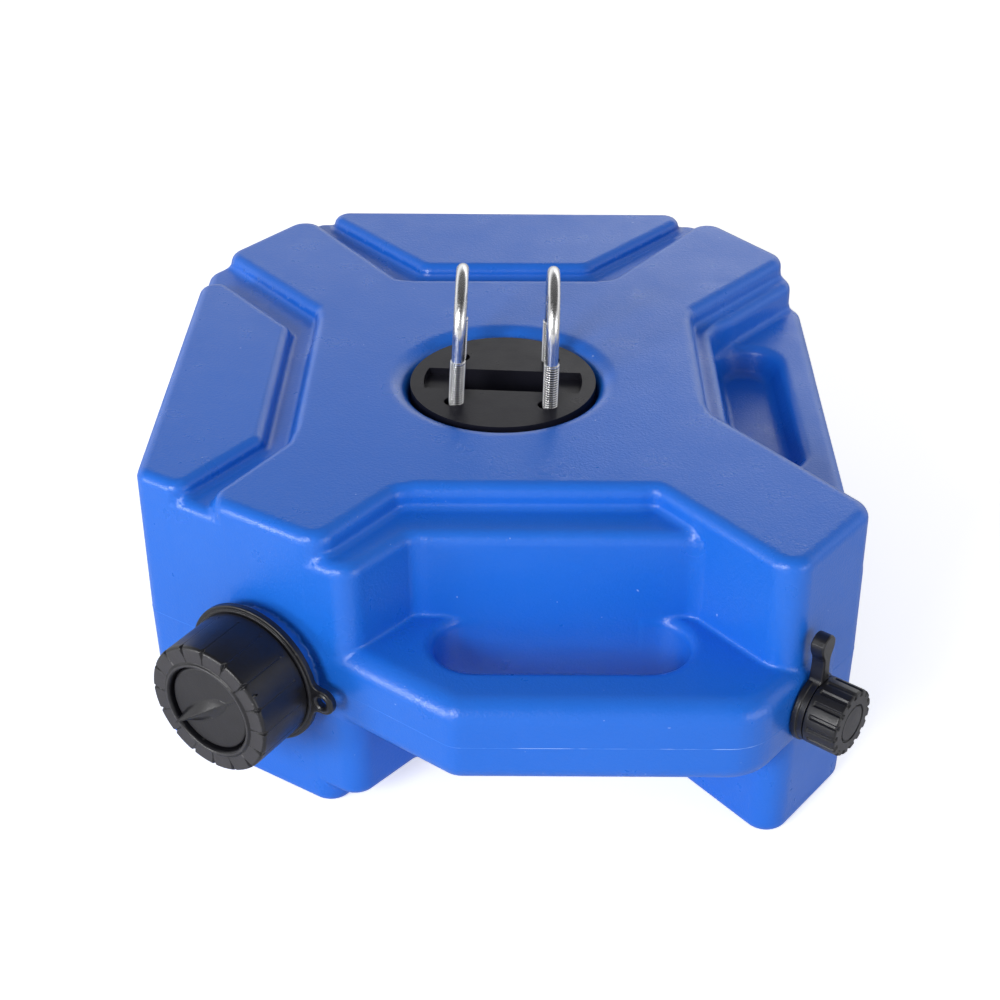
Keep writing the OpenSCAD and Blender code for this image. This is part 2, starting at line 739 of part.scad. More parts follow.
// Stopper that the collar clamps, with a plug below and a wedge fin above
module filler_stopper() {
  flange_r = collar_bore_r - 2 * run_gap;
  color(cap_black) at_filler() {
    difference() {
      union() {
        translate([0, 0, flange_z]) cylinder(r = flange_r, h = flange_t);
        translate([0, 0, flange_z - plug_l]) cylinder(r = plug_r, h = plug_l);
        translate([0, 0, flange_z]) cylinder(r = stopper_r, h = stopper_face - flange_z);
      }
      translate([0, 0, flange_z - plug_l - over]) cylinder(r = plug_r - plug_wall, h = plug_l + over);
    }
    translate([0, 0, stopper_face - root]) rotate([0, 0, fin_turn]) fin();
  }
}

// Ring seal under the stopper's flange
module filler_gasket() {
  color(rubber_black) at_filler() translate([0, 0, flange_z - gasket_t]) difference() {
    cylinder(r = filler_root_r, h = gasket_t);
    translate([0, 0, -over]) cylinder(r = plug_r + run_gap, h = gasket_t + 2 * over);
  }
}

// Stepped ring with a thick upright tab
module vent_tether_ring() {
  step = 0.7;
  color(cap_black) at_vent() translate([0, 0, vent_ring_z]) difference() {
    union() {
      cylinder(r = vent_ring_r, h = vent_ring_t / 2);
      cylinder(r = vent_ring_r - step, h = vent_ring_t);
      translate([-tab_at, 0, 0]) cylinder(r = tab_r, h = tab_t);
      translate([-tab_at, -tab_w / 2, 0]) cube([tab_at - vent_ring_r + step, tab_w, tab_t]);
      translate([-tab_at, -tab_w / 2, 0]) cube([tab_at, tab_w, vent_ring_t]);
    }
    translate([0, 0, -over]) cylinder(r = vent_stem_r + run_gap, h = vent_ring_t + 2 * over);
    translate([0, 0, vent_ring_t]) cylinder(r = vent_cap_r + run_gap, h = tab_t);
  }
}

// Ribbed screw cap with a ring groove on its face
module vent_cap() {
  groove_w = 1.4;
  groove_d = 0.9;
  color(cap_black) at_vent() {
    difference() {
      translate([0, 0, vent_cap_z]) cylinder(r = vent_cap_r, h = vent_cap_l);
      translate([0, 0, vent_cap_z - over]) cylinder(r = vent_cap_bore_r, h = vent_cap_l - vent_top_t + over);
      for (i = [0:vent_rib_count - 1]) {
        rotate([0, 0, 360 * i / vent_rib_count])
          translate([vent_cap_r - groove_d, -groove_w / 2, vent_cap_z + groove_w])
            cube([groove_d + over, groove_w, vent_cap_l]);
      }
      translate([0, 0, vent_face - groove_d]) difference() {
        cylinder(r = vent_disc_r, h = groove_d + over);
        translate([0, 0, -over]) cylinder(r = vent_disc_r - groove_d, h = groove_d + 3 * over);
      }
    }
    cap_thread();
  }
}

// Disc seal inside the vent cap
module vent_seal() {
  color(rubber_black) at_vent() translate([0, 0, vent_seal_top - vent_seal_t])
    cylinder(r = vent_cap_bore_r - run_gap, h = vent_seal_t);
}

// Places of the four bolt legs
module at_legs() {
  for (x = [-leg_at, leg_at], y = [-leg_at, leg_at]) {
    translate([x, y, 0]) children();
  }
}

// Round plate with its recess and slot, on a hub with a slotted shelf at its foot
module mount_plate() {
  shelf_slot_w = 2 * spindle_r + 4 * run_gap;
  color(plate_black) in_mount() difference() {
    union() {
      translate([0, 0, plate_z]) cylinder(r = plate_r, h = plate_t);
      translate([0, 0, hub_z]) cylinder(r = hub_r, h = hub_l + over);
    }
    translate([0, 0, plate_top - recess_d]) intersection() {
      cylinder(r = recess_r, h = recess_d + over);
      translate([-plate_r, -recess_w / 2, 0]) cube([2 * plate_r, recess_w, recess_d + over]);
    }
    translate([-plate_slot_l / 2, -recess_w / 2, plate_z - over])
      cube([plate_slot_l, recess_w, plate_t + 2 * over]);
    translate([0, 0, hub_z + shelf_t]) cylinder(r = hub_bore_r, h = hub_l - shelf_t);
    translate([0, 0, hub_z - over]) intersection() {
      cylinder(r = hub_bore_r, h = shelf_t + 2 * over);
      translate([-hub_bore_r, -shelf_slot_w / 2, 0])
        cube([2 * hub_bore_r, shelf_slot_w, shelf_t + 2 * over]);
    }
    at_legs() translate([0, 0, plate_z - over]) cylinder(r = rod_r + leg_gap, h = plate_t + 2 * over);
  }
}

// Bent rod with two legs, thread below and plain shank above
module u_bolt(x) {
  color(steel) in_mount() translate([x, 0, 0]) {
    for (y = [-leg_at, leg_at]) {
      translate([0, y, rod_z]) cylinder(r = rod_r, h = plate_top + thread_rise - rod_z);
      translate([0, y, plate_top]) cylinder(r = shank_r, h = bend_z - plate_top);
    }
    translate([0, 0, bend_z]) rotate([90, 0, 90])
      rotate_extrude(angle = 180) translate([leg_at, 0]) circle(r = shank_r);
  }
}

module u_bolt_left() {
  u_bolt(-leg_at);
}

module u_bolt_right() {
  u_bolt(leg_at);
}

module u_bolt_washers() {
  color(steel) in_mount() at_legs() translate([0, 0, plate_z - washer_t]) difference() {
    cylinder(r = washer_r, h = washer_t);
    translate([0, 0, -over]) cylinder(r = rod_r + leg_gap, h = washer_t + 2 * over);
  }
}

module u_bolt_nuts() {
  color(steel) in_mount() at_legs() translate([0, 0, plate_z - washer_t - nut_h]) difference() {
    cylinder(r = nut_r, h = nut_h, $fn = 6);
    translate([0, 0, -over]) cylinder(r = rod_r + bore_gap, h = nut_h + 2 * over);
  }
}

// Height of the spindle's foot above the underside of the knob's flange
foot_rise = 2;
pin_z = knob_top + sleeve_l / 2;

// Cross hole for the pin, as long as its place needs
module pin_hole(l) {
  translate([-l / 2 - over, 0, pin_z]) rotate([0, 90, 0]) cylinder(r = pin_r + bore_gap, h = l + 2 * over);
}

// Bar with a T head that rests on the hub's shelf, across its slot
module lock_spindle() {
  tee_z = hub_z + shelf_t + run_gap;
  foot_z = knob_z + foot_rise;
  color(steel) in_mount() difference() {
    union() {
      translate([0, 0, foot_z]) cylinder(r = spindle_r, h = tee_z + tee_h - foot_z);
      translate([-tee_w / 2, -tee_l / 2, tee_z]) cube([tee_w, tee_l, tee_h]);
    }
    pin_hole(2 * spindle_r);
  }
}

// Knob in the lower mouth of the mount hole, with a grip bar below and a sleeve above
module lock_knob() {
  barrel_wall = 5;
  grip_h = knob_z - grip_lift + over;
  color(plate_black) in_mount() difference() {
    union() {
      translate([0, 0, knob_z]) cylinder(r = knob_r, h = knob_t);
      translate([0, 0, knob_top - over]) cylinder(r = sleeve_r, h = sleeve_l + over);
      translate([0, 0, grip_lift]) cylinder(r = barrel_r + barrel_wall, h = grip_h);
      translate([-grip_l / 2, -grip_w / 2, grip_lift]) cube([grip_l, grip_w, grip_h]);
    }
    translate([0, 0, knob_z + foot_rise]) cylinder(r = spindle_r + bore_gap, h = knob_t + sleeve_l);
    translate([0, 0, grip_lift - over]) cylinder(r = barrel_r + bore_gap, h = barrel_l + over + run_gap);
    pin_hole(2 * sleeve_r);
  }
}

module spindle_pin() {
  color(steel) in_mount() translate([-sleeve_r, 0, pin_z]) rotate([0, 90, 0])
    cylinder(r = pin_r, h = 2 * sleeve_r);
}

// Key barrel with its key slot
module lock_cylinder() {
  key_l = 8;
  key_w = 1.8;
  key_d = 6;
  color(steel) in_mount() translate([0, 0, grip_lift]) difference() {
    cylinder(r = barrel_r, h = barrel_l);
    translate([-key_l / 2, -key_w / 2, -over]) cube([key_l, key_w, key_d + over]);
  }
}

module knob_washer() {
  color(rubber_black) place() translate([0, 0, knob_seat_d - knob_washer_t]) difference() {
    cylinder(r = hole_r - 2 * run_gap, h = knob_washer_t);
    translate([0, 0, -over]) cylinder(r = tunnel_r, h = knob_washer_t + 2 * over);
  }
}

can_body();
filler_tether_ring();
filler_collar();
filler_stopper();
filler_gasket();
vent_tether_ring();
vent_cap();
vent_seal();
mount_plate();
u_bolt_left();
u_bolt_right();
u_bolt_washers();
u_bolt_nuts();
lock_spindle();
lock_knob();
spindle_pin();
lock_cylinder();
knob_washer();
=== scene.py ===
"""Looks of the flat gas can: moulded shell, caps, mount plate and U-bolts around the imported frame."""
import json
import math

import bpy
import numpy as np
from mathutils import Matrix, Vector


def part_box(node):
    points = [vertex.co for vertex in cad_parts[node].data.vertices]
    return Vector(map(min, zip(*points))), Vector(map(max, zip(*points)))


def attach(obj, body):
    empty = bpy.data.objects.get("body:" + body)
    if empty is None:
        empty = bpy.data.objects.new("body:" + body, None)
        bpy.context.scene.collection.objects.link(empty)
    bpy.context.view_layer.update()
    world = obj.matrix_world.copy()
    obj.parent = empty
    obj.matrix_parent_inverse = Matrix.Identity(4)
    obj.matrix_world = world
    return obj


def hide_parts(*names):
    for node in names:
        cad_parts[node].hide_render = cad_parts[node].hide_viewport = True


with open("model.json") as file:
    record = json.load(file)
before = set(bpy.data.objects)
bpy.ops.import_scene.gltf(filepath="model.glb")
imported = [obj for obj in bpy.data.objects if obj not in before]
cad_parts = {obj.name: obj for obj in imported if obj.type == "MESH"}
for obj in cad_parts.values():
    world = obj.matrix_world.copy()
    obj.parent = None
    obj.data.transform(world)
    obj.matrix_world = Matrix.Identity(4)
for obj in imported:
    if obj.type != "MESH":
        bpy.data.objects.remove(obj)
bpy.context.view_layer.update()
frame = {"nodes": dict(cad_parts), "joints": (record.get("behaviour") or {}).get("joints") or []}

# Shapes are drawn in millimetres and written to meshes in metres
MM = 0.001
joints = {j["name"]: j for j in frame["joints"]}
nodes = frame["nodes"]


class Neck:
    """Frame of a neck: x downwards, y along the corner wall, l outwards along the neck."""

    def __init__(self, joint):
        self.base = np.array(joints[joint]["pos_m"]) / MM
        self.out = np.array(joints[joint]["axis"])
        self.side = np.array([-self.out[1], self.out[0], 0.0])
        self.down = np.array([0.0, 0.0, -1.0])

    def world(self, points):
        points = np.asarray(points)
        return (self.base + points[:, :1] * self.down + points[:, 1:2] * self.side + points[:, 2:] * self.out)

    def reach(self, node):
        """First and last place of a CAD node along the neck."""
        places = (node_points(node) - self.base) @ self.out
        return places.min(), places.max()


def node_points(node):
    """Points of a CAD node in millimetres."""
    return np.array([v.co for v in nodes[node].data.vertices]) / MM


def span(node, axis):
    """Lowest and highest place of a CAD node along an axis, in millimetres."""
    low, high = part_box(node)
    return low[axis] / MM, high[axis] / MM


# The mount hole's axis and the two necks
hole = np.array(joints["knob_turn"]["pos_m"][:2]) / MM
filler = Neck("filler_turn")
vent = Neck("vent_turn")
# Clearance between pieces that run against each other, as in the solid parts
RUN_GAP = 0.3


def radii(node):
    """Least and greatest distance of a CAD node's points from the mount hole's axis."""
    r = np.hypot(*(node_points(node)[:, :2] - hole).T)
    return r.min(), r.max()


# Levels of the shell, as heights above and below its middle
CAN_T = span("can_body", 2)[1]
MID = CAN_T / 2
FACE_H = CAN_T / 2
CHANNEL_H = FACE_H - 6.0
LEDGE_H = FACE_H - 9.0
BLOCK_H = FACE_H - 22.0
BAR_H = 17.0
DRAFT = math.tan(math.radians(0.7))
FACE_SPREAD = FACE_H * DRAFT

# Radii of upright corners, edges and creases
CORNER_R = 9.0
PAD_R = 7.0
FACE_FILLET = 4.5
PAD_FILLET = 4.0
BAR_FILLET = 8.0
CREASE_R = 3.0
SHARP_CREASE_R = 1.4
PLAN_CREASE_R = 3.5
SLOT_EDGE_R = 4.0
MOUTH_FILLET = 8.0

# Outline of the can at its faces, with the mount hole at the middle of the plan
SIDE_X = 131.2
BACK_LEFT = np.array([-SIDE_X, 106.0])
BACK_LEFT_REAR = np.array([-88.2, 161.5])
BACK_RIGHT = np.array([SIDE_X, 103.0])
BACK_RIGHT_REAR = np.array([88.2, 159.5])
FRONT_LEFT = np.array([-SIDE_X, -70.9])
FRONT_LEFT_END = np.array([-52.0, -120.9])
FRONT_RIGHT = np.array([131.0, -90.6])
FRONT_RIGHT_END = np.array([97.7, -132.3])
FRONT_LEDGE_Y = -97.5
RIGHT_LEDGE_X = 87.5

# Finger slot, grip pocket and mount hole
SLOT_X, SLOT_L = 21.5, 90.0
SLOT_FRONT_Y = -128.6
SLOT_R = (FRONT_LEDGE_Y - SLOT_FRONT_Y) / 2
SLOT_Y = (FRONT_LEDGE_Y + SLOT_FRONT_Y) / 2
POCKET_LOW = np.array([88.1, -33.0])
POCKET_HIGH = np.array([117.0, 67.0])
POCKET_R, POCKET_D, POCKET_SLOPE = 14.0, 12.0, 4.0
TUNNEL_R = radii("knob_washer")[0]
HOLE_R = radii("knob_washer")[1] + 2 * RUN_GAP
UPPER_SHOULDER = span("u_bolt_washers", 2)[1]
LOWER_SHOULDER = span("knob_washer", 2)[1]
# Boss under the filler's ring, and the bores of the two necks
BOSS_R, BOSS_EDGE_R, BOSS_CREASE_R = 21.9, 1.2, 0.5
FILLER_BORE_R, VENT_BORE_R, BORE_DEPTH = 16.0, 4.5, 20.0
ring_low, ring_high = filler.reach("filler_tether_ring")


def unit(v):
    return np.asarray(v, float) / np.linalg.norm(v)


def on_line(p, q, x):
    """Point at x on the line through p and q."""
    return np.array([x, p[1] + (q[1] - p[1]) * (x - p[0]) / (q[0] - p[0])])


def arm(outer_a, inner_a, inner_b, outer_b, reach=30.0):
    """Outline of an arm of the raised cross, which reaches into the waist."""
    return [outer_a, inner_a + unit(inner_a - outer_a) * reach,
            inner_b + unit(inner_b - outer_b) * reach, outer_b]


WAIST = [np.array(p) for p in [
    (-78.3, 57.5), (-78.3, -46.6), (-35.5, -80.5), (55.5, -80.5),
    (78.3, -23.5), (78.3, 57.5), (45.1, 89.0), (-45.1, 89.0)]]
BACK_ARM_OUT, BACK_ARM_IN = 125.0, 92.2
BACK_ARM_MID = (BACK_ARM_OUT + BACK_ARM_IN) / 2
LEFT_ARM_FRONT = on_line(FRONT_LEFT, FRONT_LEFT_END, -61.7)
LEFT_ARM_SIDE = on_line(FRONT_LEFT, FRONT_LEFT_END, -104.5)
LEFT_ARM_MID = (LEFT_ARM_FRONT + LEFT_ARM_SIDE) / 2
RIGHT_ARM_OUT = on_line(FRONT_RIGHT, FRONT_RIGHT_END, 130.2)
RIGHT_ARM_MID = (RIGHT_ARM_OUT + FRONT_RIGHT_END) / 2
BACK_LEFT_MID = on_line(BACK_LEFT, BACK_LEFT_REAR, -BACK_ARM_MID)
BACK_RIGHT_MID = on_line(BACK_RIGHT, BACK_RIGHT_REAR, BACK_ARM_MID)
CORE_X, CORE_Y = 62.6, 60.4

ARMS = [
    arm(on_line(BACK_LEFT, BACK_LEFT_REAR, -BACK_ARM_OUT), WAIST[0], WAIST[7],
        on_line(BACK_LEFT, BACK_LEFT_REAR, -BACK_ARM_IN)),
    arm(on_line(BACK_RIGHT, BACK_RIGHT_REAR, BACK_ARM_IN), WAIST[6], WAIST[5],
        on_line(BACK_RIGHT, BACK_RIGHT_REAR, BACK_ARM_OUT)),
    arm(LEFT_ARM_FRONT, WAIST[2], WAIST[1], LEFT_ARM_SIDE),
]
RIGHT_ARM = arm(RIGHT_ARM_OUT, WAIST[4], WAIST[3], FRONT_RIGHT_END)
LEFT_PAD_X = -88.0
LEFT_PAD = [(-SIDE_X, 98.5), FRONT_LEFT, on_line(FRONT_LEFT, FRONT_LEFT_END, -113.9),
            (LEFT_PAD_X, -46.4), (LEFT_PAD_X, 43.7)]
BACK_PAD = [BACK_LEFT_REAR, (-36.0, 100.5), (36.0, 100.5), BACK_RIGHT_REAR]
LEFT_LOW = [BACK_LEFT, FRONT_LEFT, LEFT_ARM_MID, (-CORE_X, -CORE_Y), (-CORE_X, CORE_Y), BACK_LEFT_MID]
BACK_LOW = [BACK_LEFT_REAR, BACK_LEFT_MID, (-45.1, CORE_Y), (45.1, CORE_Y), BACK_RIGHT_MID, BACK_RIGHT_REAR]
LEDGE_LAP = 12.0
FRONT_LEDGE_CORNER = np.array([-31.4, FRONT_LEDGE_Y])
RIGHT_LEDGE_CORNER = np.array([RIGHT_LEDGE_X, 57.4])
BACK_LEDGE_OUT = on_line(BACK_RIGHT, BACK_RIGHT_REAR, 129.0)
FRONT_LEDGE = [FRONT_LEDGE_CORNER - [LEDGE_LAP, 0], (RIGHT_LEDGE_X, FRONT_LEDGE_Y), (CORE_X, -CORE_Y),
               (-15.7, -CORE_Y)]
LEFT_LEDGE = [FRONT_LEFT_END, FRONT_LEDGE_CORNER + unit(FRONT_LEDGE_CORNER - FRONT_LEFT_END) * LEDGE_LAP,
              (-15.7, -CORE_Y), (-52.0, -CORE_Y), LEFT_ARM_MID]
RIGHT_LEDGE = [(RIGHT_LEDGE_X, -46.6), RIGHT_LEDGE_CORNER + [0, LEDGE_LAP],
               (CORE_X, RIGHT_LEDGE_CORNER[1] + LEDGE_LAP), (CORE_X, -23.5)]
BACK_LEDGE = [RIGHT_LEDGE_CORNER - unit(BACK_LEDGE_OUT - RIGHT_LEDGE_CORNER) * LEDGE_LAP, BACK_LEDGE_OUT,
              BACK_RIGHT_MID, (CORE_X, 89.0)]
SIDE_BLOCK = [on_line(FRONT_RIGHT, FRONT_RIGHT_END, 128.2), BACK_RIGHT, BACK_RIGHT_MID, (CORE_X, CORE_Y),
              (CORE_X, -CORE_Y), RIGHT_ARM_MID]

# The vent's ring lies nearer to the wall and its cap is longer than in the solid parts, as in the photograph
VENT_RING_R = 12.9
RING_NEARER, CAP_LONGER = 1.1, 1.1
vent_ring_low = vent.reach("vent_tether_ring")[0] - RING_NEARER
cap_low, cap_face = vent.reach("vent_cap")[0], vent.reach("vent_cap")[1] + CAP_LONGER


def bar_posts():
    """Posts of the handle bar as centre and radius; its right end is set back from the vent's seat."""
    small, big = 10.0, 20.0
    front = span("can_body", 1)[0] - hole[1]
    left = LEFT_ARM_FRONT + filler.out[:2] * (FACE_SPREAD - small)
    land = vent.base[:2] - hole + vent.out[:2] * (vent_ring_low - RUN_GAP)
    right_y = front + big
    right_x = land[0] - ((right_y - land[1]) * vent.out[1] + big) / vent.out[0]
    land_end = land + vent.side[:2] * VENT_RING_R - vent.out[:2] * small
    slot_end = SLOT_X - SLOT_L / 2 + SLOT_R
    back_y = FRONT_LEDGE_Y + small
    return [(*left, small), (slot_end - small / 2, front + small, small), (right_x, right_y, big),
            (*land_end, small), (RIGHT_LEDGE_X, back_y, small), (FRONT_LEFT_END[0], back_y, small)]


def hull_of(posts, sides=48):
    """Convex outline around round posts, counter-clockwise."""
    turns = [2 * math.pi * i / sides for i in range(sides)]
    cloud = sorted({(round(px + r * math.cos(t), 6), round(py + r * math.sin(t), 6))
                    for px, py, r in posts for t in turns})

    def chain(points):
        out = []
        for p in points:
            while len(out) > 1 and ((out[-1][0] - out[-2][0]) * (p[1] - out[-2][1])
                                    - (out[-1][1] - out[-2][1]) * (p[0] - out[-2][0])) <= 0:
                out.pop()
            out.append(p)
        return out[:-1]

    return chain(cloud) + chain(cloud[::-1])


BAR_OUTLINE = hull_of(bar_posts())


def polygon_distance(x, y, points):
    """Signed distance to a convex counter-clockwise outline, negative inside."""
    best = np.full(np.broadcast(x, y).shape, np.inf, np.float32)
    inside = np.full(best.shape, -np.inf, np.float32)
    for i, a in enumerate(points):
        b = points[(i + 1) % len(points)]
        ex, ey = b[0] - a[0], b[1] - a[1]
        length = math.hypot(ex, ey)
        wx, wy = x - a[0], y - a[1]
        t = np.clip((wx * ex + wy * ey) / length ** 2, 0, 1)
        best = np.minimum(best, (wx - ex * t) ** 2 + (wy - ey * t) ** 2)
        inside = np.maximum(inside, (wx * ey - wy * ex) / length)
    return np.where(inside < 0, inside, np.sqrt(best))


def inset(points, d):
    """Outline whose edges are moved inwards by d."""
    points = [np.asarray(p, float) for p in points]
    out = []
    for i, b in enumerate(points):
        a, c = points[i - 1], points[(i + 1) % len(points)]
        m, n = unit(b - a), unit(c - b)
        m, n = np.array([-m[1], m[0]]), np.array([-n[1], n[0]])
        out.append(b + (m + n) * d / (1 + m @ n))
    return out


def rounded(x, y, points, r):
    """Distance to an outline with rounded corners."""
    return polygon_distance(x, y, inset(points, r)) - r


def corner_round(a, b, r):
    """Both of two half spaces, with an outer edge of radius r."""
    u, v = a + r, b + r
    return np.minimum(np.maximum(u, v), 0) + np.hypot(np.maximum(u, 0), np.maximum(v, 0)) - r


def round_join(a, b, r):
    """Union whose inner crease has radius r."""
    u, v = np.maximum(r - a, 0), np.maximum(r - b, 0)
    return np.maximum(r, np.minimum(a, b)) - np.sqrt(u * u + v * v)


def round_cut(a, cut, r):
    """What is left of a outside cut, with edges of radius r."""
    u, v = np.maximum(r + a, 0), np.maximum(r - cut, 0)
    return np.minimum(-r, np.maximum(a, -cut)) + np.sqrt(u * u + v * v)


def raised(plan, z, h, fillet, level):
    """A level of half height h, with draft and edge fillet; its plan outline is drawn at the height level."""
    return corner_round(plan - (level - np.abs(z)) * DRAFT, np.abs(z) - h, fillet)


def crease(wall, z, floor_h, region, fillet, r=CREASE_R):
    """Fillet of radius r between the walls of the upper levels and the top of a lower one, with its edges."""
    a, b = wall, np.abs(z) - floor_h
    round_part = r - np.hypot(np.maximum(r - a, 0), np.maximum(r - b, 0))
    return corner_round(np.maximum(np.maximum(a, b) - r, round_part), region, fillet)


def can_distance(x, y, z):
    """Signed distance to the moulded shell; x and y from the mount hole, z from the middle of the can."""
    cross = rounded(x, y, WAIST, CORNER_R)
    for points in ARMS:
        cross = round_join(cross, rounded(x, y, points, CORNER_R), PLAN_CREASE_R)
    right_arm = rounded(x, y, RIGHT_ARM, CORNER_R)
    cross = round_join(cross, right_arm, PLAN_CREASE_R)
    pads = np.minimum(rounded(x, y, LEFT_PAD, PAD_R), rounded(x, y, BACK_PAD, PAD_R))
    lows = np.minimum(rounded(x, y, LEFT_LOW, CORNER_R), rounded(x, y, BACK_LOW, CORNER_R))
    front_ledge = round_join(rounded(x, y, FRONT_LEDGE, CORNER_R), right_arm, PLAN_CREASE_R)
    left_ledge = rounded(x, y, LEFT_LEDGE, CORNER_R)
    ledges = round_join(front_ledge, left_ledge, PLAN_CREASE_R)
    right_ledge, back_ledge = rounded(x, y, RIGHT_LEDGE, CORNER_R), rounded(x, y, BACK_LEDGE, CORNER_R)
    ledges = np.minimum(ledges, round_join(right_ledge, back_ledge, PLAN_CREASE_R))
    block = rounded(x, y, SIDE_BLOCK, CORNER_R)
    upper = np.minimum(cross, pads)
    d = np.minimum(raised(cross, z, FACE_H, FACE_FILLET, FACE_H), raised(pads, z, FACE_H, PAD_FILLET, FACE_H))
    d = np.minimum(d, raised(lows, z, CHANNEL_H, PAD_FILLET, CHANNEL_H))
    d = np.minimum(d, crease(upper, z, CHANNEL_H, lows, PAD_FILLET))
    d = np.minimum(d, raised(ledges, z, LEDGE_H, FACE_FILLET, LEDGE_H))
    d = np.minimum(d, crease(upper, z, LEDGE_H, ledges, FACE_FILLET))
    d = np.minimum(d, raised(block, z, BLOCK_H, FACE_FILLET, CHANNEL_H))
    d = np.minimum(d, crease(np.minimum(upper, ledges), z, BLOCK_H, block, FACE_FILLET))
    bar = raised(polygon_distance(x, y, BAR_OUTLINE), z, BAR_H, BAR_FILLET, 0.0)
    d = round_join(d, round_cut(bar, slot_distance(x, y), SLOT_EDGE_R), SHARP_CREASE_R)
    d = round_cut(d, pocket_distance(x, y, z), CREASE_R)
    d = round_cut(d, hole_distance(x, y, z), MOUTH_FILLET)
    r, l = around_neck(filler, x, y, z)
    boss = disc(r, l, BOSS_R, -BORE_DEPTH, ring_low - RUN_GAP, BOSS_EDGE_R)
    d = round_join(d, boss, BOSS_CREASE_R)
    d = np.maximum(d, -np.maximum(r - FILLER_BORE_R, -l - BORE_DEPTH))
    r, l = around_neck(vent, x, y, z)
    return np.maximum(d, -np.maximum(r - VENT_BORE_R, -l - BORE_DEPTH))


def around_neck(neck, x, y, z):
    """Distance from a neck's axis and place along it, in the frame of can_distance."""
    px, py = x - (neck.base[0] - hole[0]), y - (neck.base[1] - hole[1])
    return np.hypot(py * neck.out[0] - px * neck.out[1], z), px * neck.out[0] + py * neck.out[1]


def slot_distance(x, y):
    """Finger slot: a stadium in plan, whose straight part runs on into the front wall."""
    run_in = 6.0
    half = SLOT_L / 2 - SLOT_R
    dx = np.abs(x - SLOT_X) - half
    stadium = np.hypot(np.maximum(dx, 0), y - SLOT_Y) - SLOT_R
    straight = np.maximum(dx, np.abs(y - SLOT_Y - run_in / 2) - SLOT_R - run_in / 2)
    return np.minimum(stadium, straight)


def pocket_distance(x, y, z):
    """Grip pocket: a rounded box whose walls lean inwards, over both faces of the side block."""
    middle, half = (POCKET_LOW + POCKET_HIGH) / 2, (POCKET_HIGH - POCKET_LOW) / 2
    depth = np.clip(BLOCK_H - np.abs(z), 0, POCKET_D)
    lean = POCKET_SLOPE * depth / POCKET_D
    dx = np.abs(x - middle[0]) - half[0] + POCKET_R
    dy = np.abs(y - middle[1]) - half[1] + POCKET_R
    plan = np.hypot(np.maximum(dx, 0), np.maximum(dy, 0)) + np.minimum(np.maximum(dx, dy), 0)
    return corner_round(plan - POCKET_R + lean, BLOCK_H - POCKET_D - np.abs(z), CREASE_R)


def hole_distance(x, y, z):
    """Mount hole: a tunnel with a wider mouth in each face."""
    r = np.hypot(x, y)
    mouth = np.maximum(r - HOLE_R, np.minimum(UPPER_SHOULDER - MID - z, z - (LOWER_SHOULDER - MID)))
    return np.minimum(r - TUNNEL_R, mouth)


def disc(r, l, radius, low, high, soft):
    """Round disc from low to high along its axis, with soft edges."""
    return corner_round(r - radius, np.maximum(l - high, low - l), soft)


def surface_net(distance, low, high, step):
    """Quads and points of the zero surface of a distance field, one point in each crossed cell."""
    axes = [np.arange(a, b + step, step, dtype=np.float32) for a, b in zip(low, high)]
    field = distance(axes[0][:, None, None], axes[1][None, :, None], axes[2][None, None, :])
    inside = field < 0
    shape = [n - 1 for n in field.shape]
    total = np.zeros(shape + [3], np.float32)
    count = np.zeros(shape, np.float32)
    corners = [(i, j, k) for i in (0, 1) for j in (0, 1) for k in (0, 1)]

    def corner(array, c):
        return array[c[0]:shape[0] + c[0], c[1]:shape[1] + c[1], c[2]:shape[2] + c[2]]

    for a in corners:
        for axis in range(3):
            if a[axis]:
                continue
            b = tuple(1 if n == axis else v for n, v in enumerate(a))
            crossed = corner(inside, a) != corner(inside, b)
            fa, fb = corner(field, a)[crossed], corner(field, b)[crossed]
            spot = np.repeat(np.array([a], np.float32), len(fa), 0)
            spot[:, axis] += fa / (fa - fb)
            total[crossed] += spot
            count[crossed] += 1
    used = count > 0
    number = np.full(shape, -1, np.int64)
    number[used] = np.arange(used.sum())
    cells = np.argwhere(used)
    points = (cells + total[used] / count[used][:, None]) * step + np.array([a[0] for a in axes])
    quads = []
    for axis in range(3):
        u, v = (axis + 1) % 3, (axis + 2) % 3
        lower = [slice(1, -1)] * 3
        upper = [slice(1, -1)] * 3
        lower[axis], upper[axis] = slice(0, -1), slice(1, None)
        first, second = inside[tuple(lower)], inside[tuple(upper)]
        spots = np.argwhere(first != second)
        outward = first[first != second]
        spots = spots + [0 if n == axis else 1 for n in range(3)]
        ring = []
        for du, dv in ((-1, -1), (0, -1), (0, 0), (-1, 0)):
            cell = spots.copy()
            cell[:, u] += du
            cell[:, v] += dv
            ring.append(number[cell[:, 0], cell[:, 1], cell[:, 2]])
        ring = np.stack(ring, 1)
        ring[~outward] = ring[~outward][:, ::-1]
        quads.append(ring)
    return points, np.concatenate(quads)


def slopes(distance, points, h):
    """Gradient of a distance field at points."""
    out = np.zeros_like(points)
    for axis in range(3):
        a, b = points.copy(), points.copy()
        a[:, axis] += h
        b[:, axis] -= h
        out[:, axis] = (distance(*a.T) - distance(*b.T)) / (2 * h)
    return out


def settle(distance, points, step, rounds=3):
    """Moves points onto the zero surface, by no more than a cell, and returns them with its normals."""
    start, h, least_slope = points, step / 8, 0.25
    for _ in range(rounds):
        g = slopes(distance, points, h)
        points = points - g * (distance(*points.T) / np.maximum((g * g).sum(1), least_slope))[:, None]
        points = start + np.clip(points - start, -step, step)
    g = slopes(distance, points, h)
    return points, g / np.maximum(np.linalg.norm(g, axis=1, keepdims=True), 1e-6)


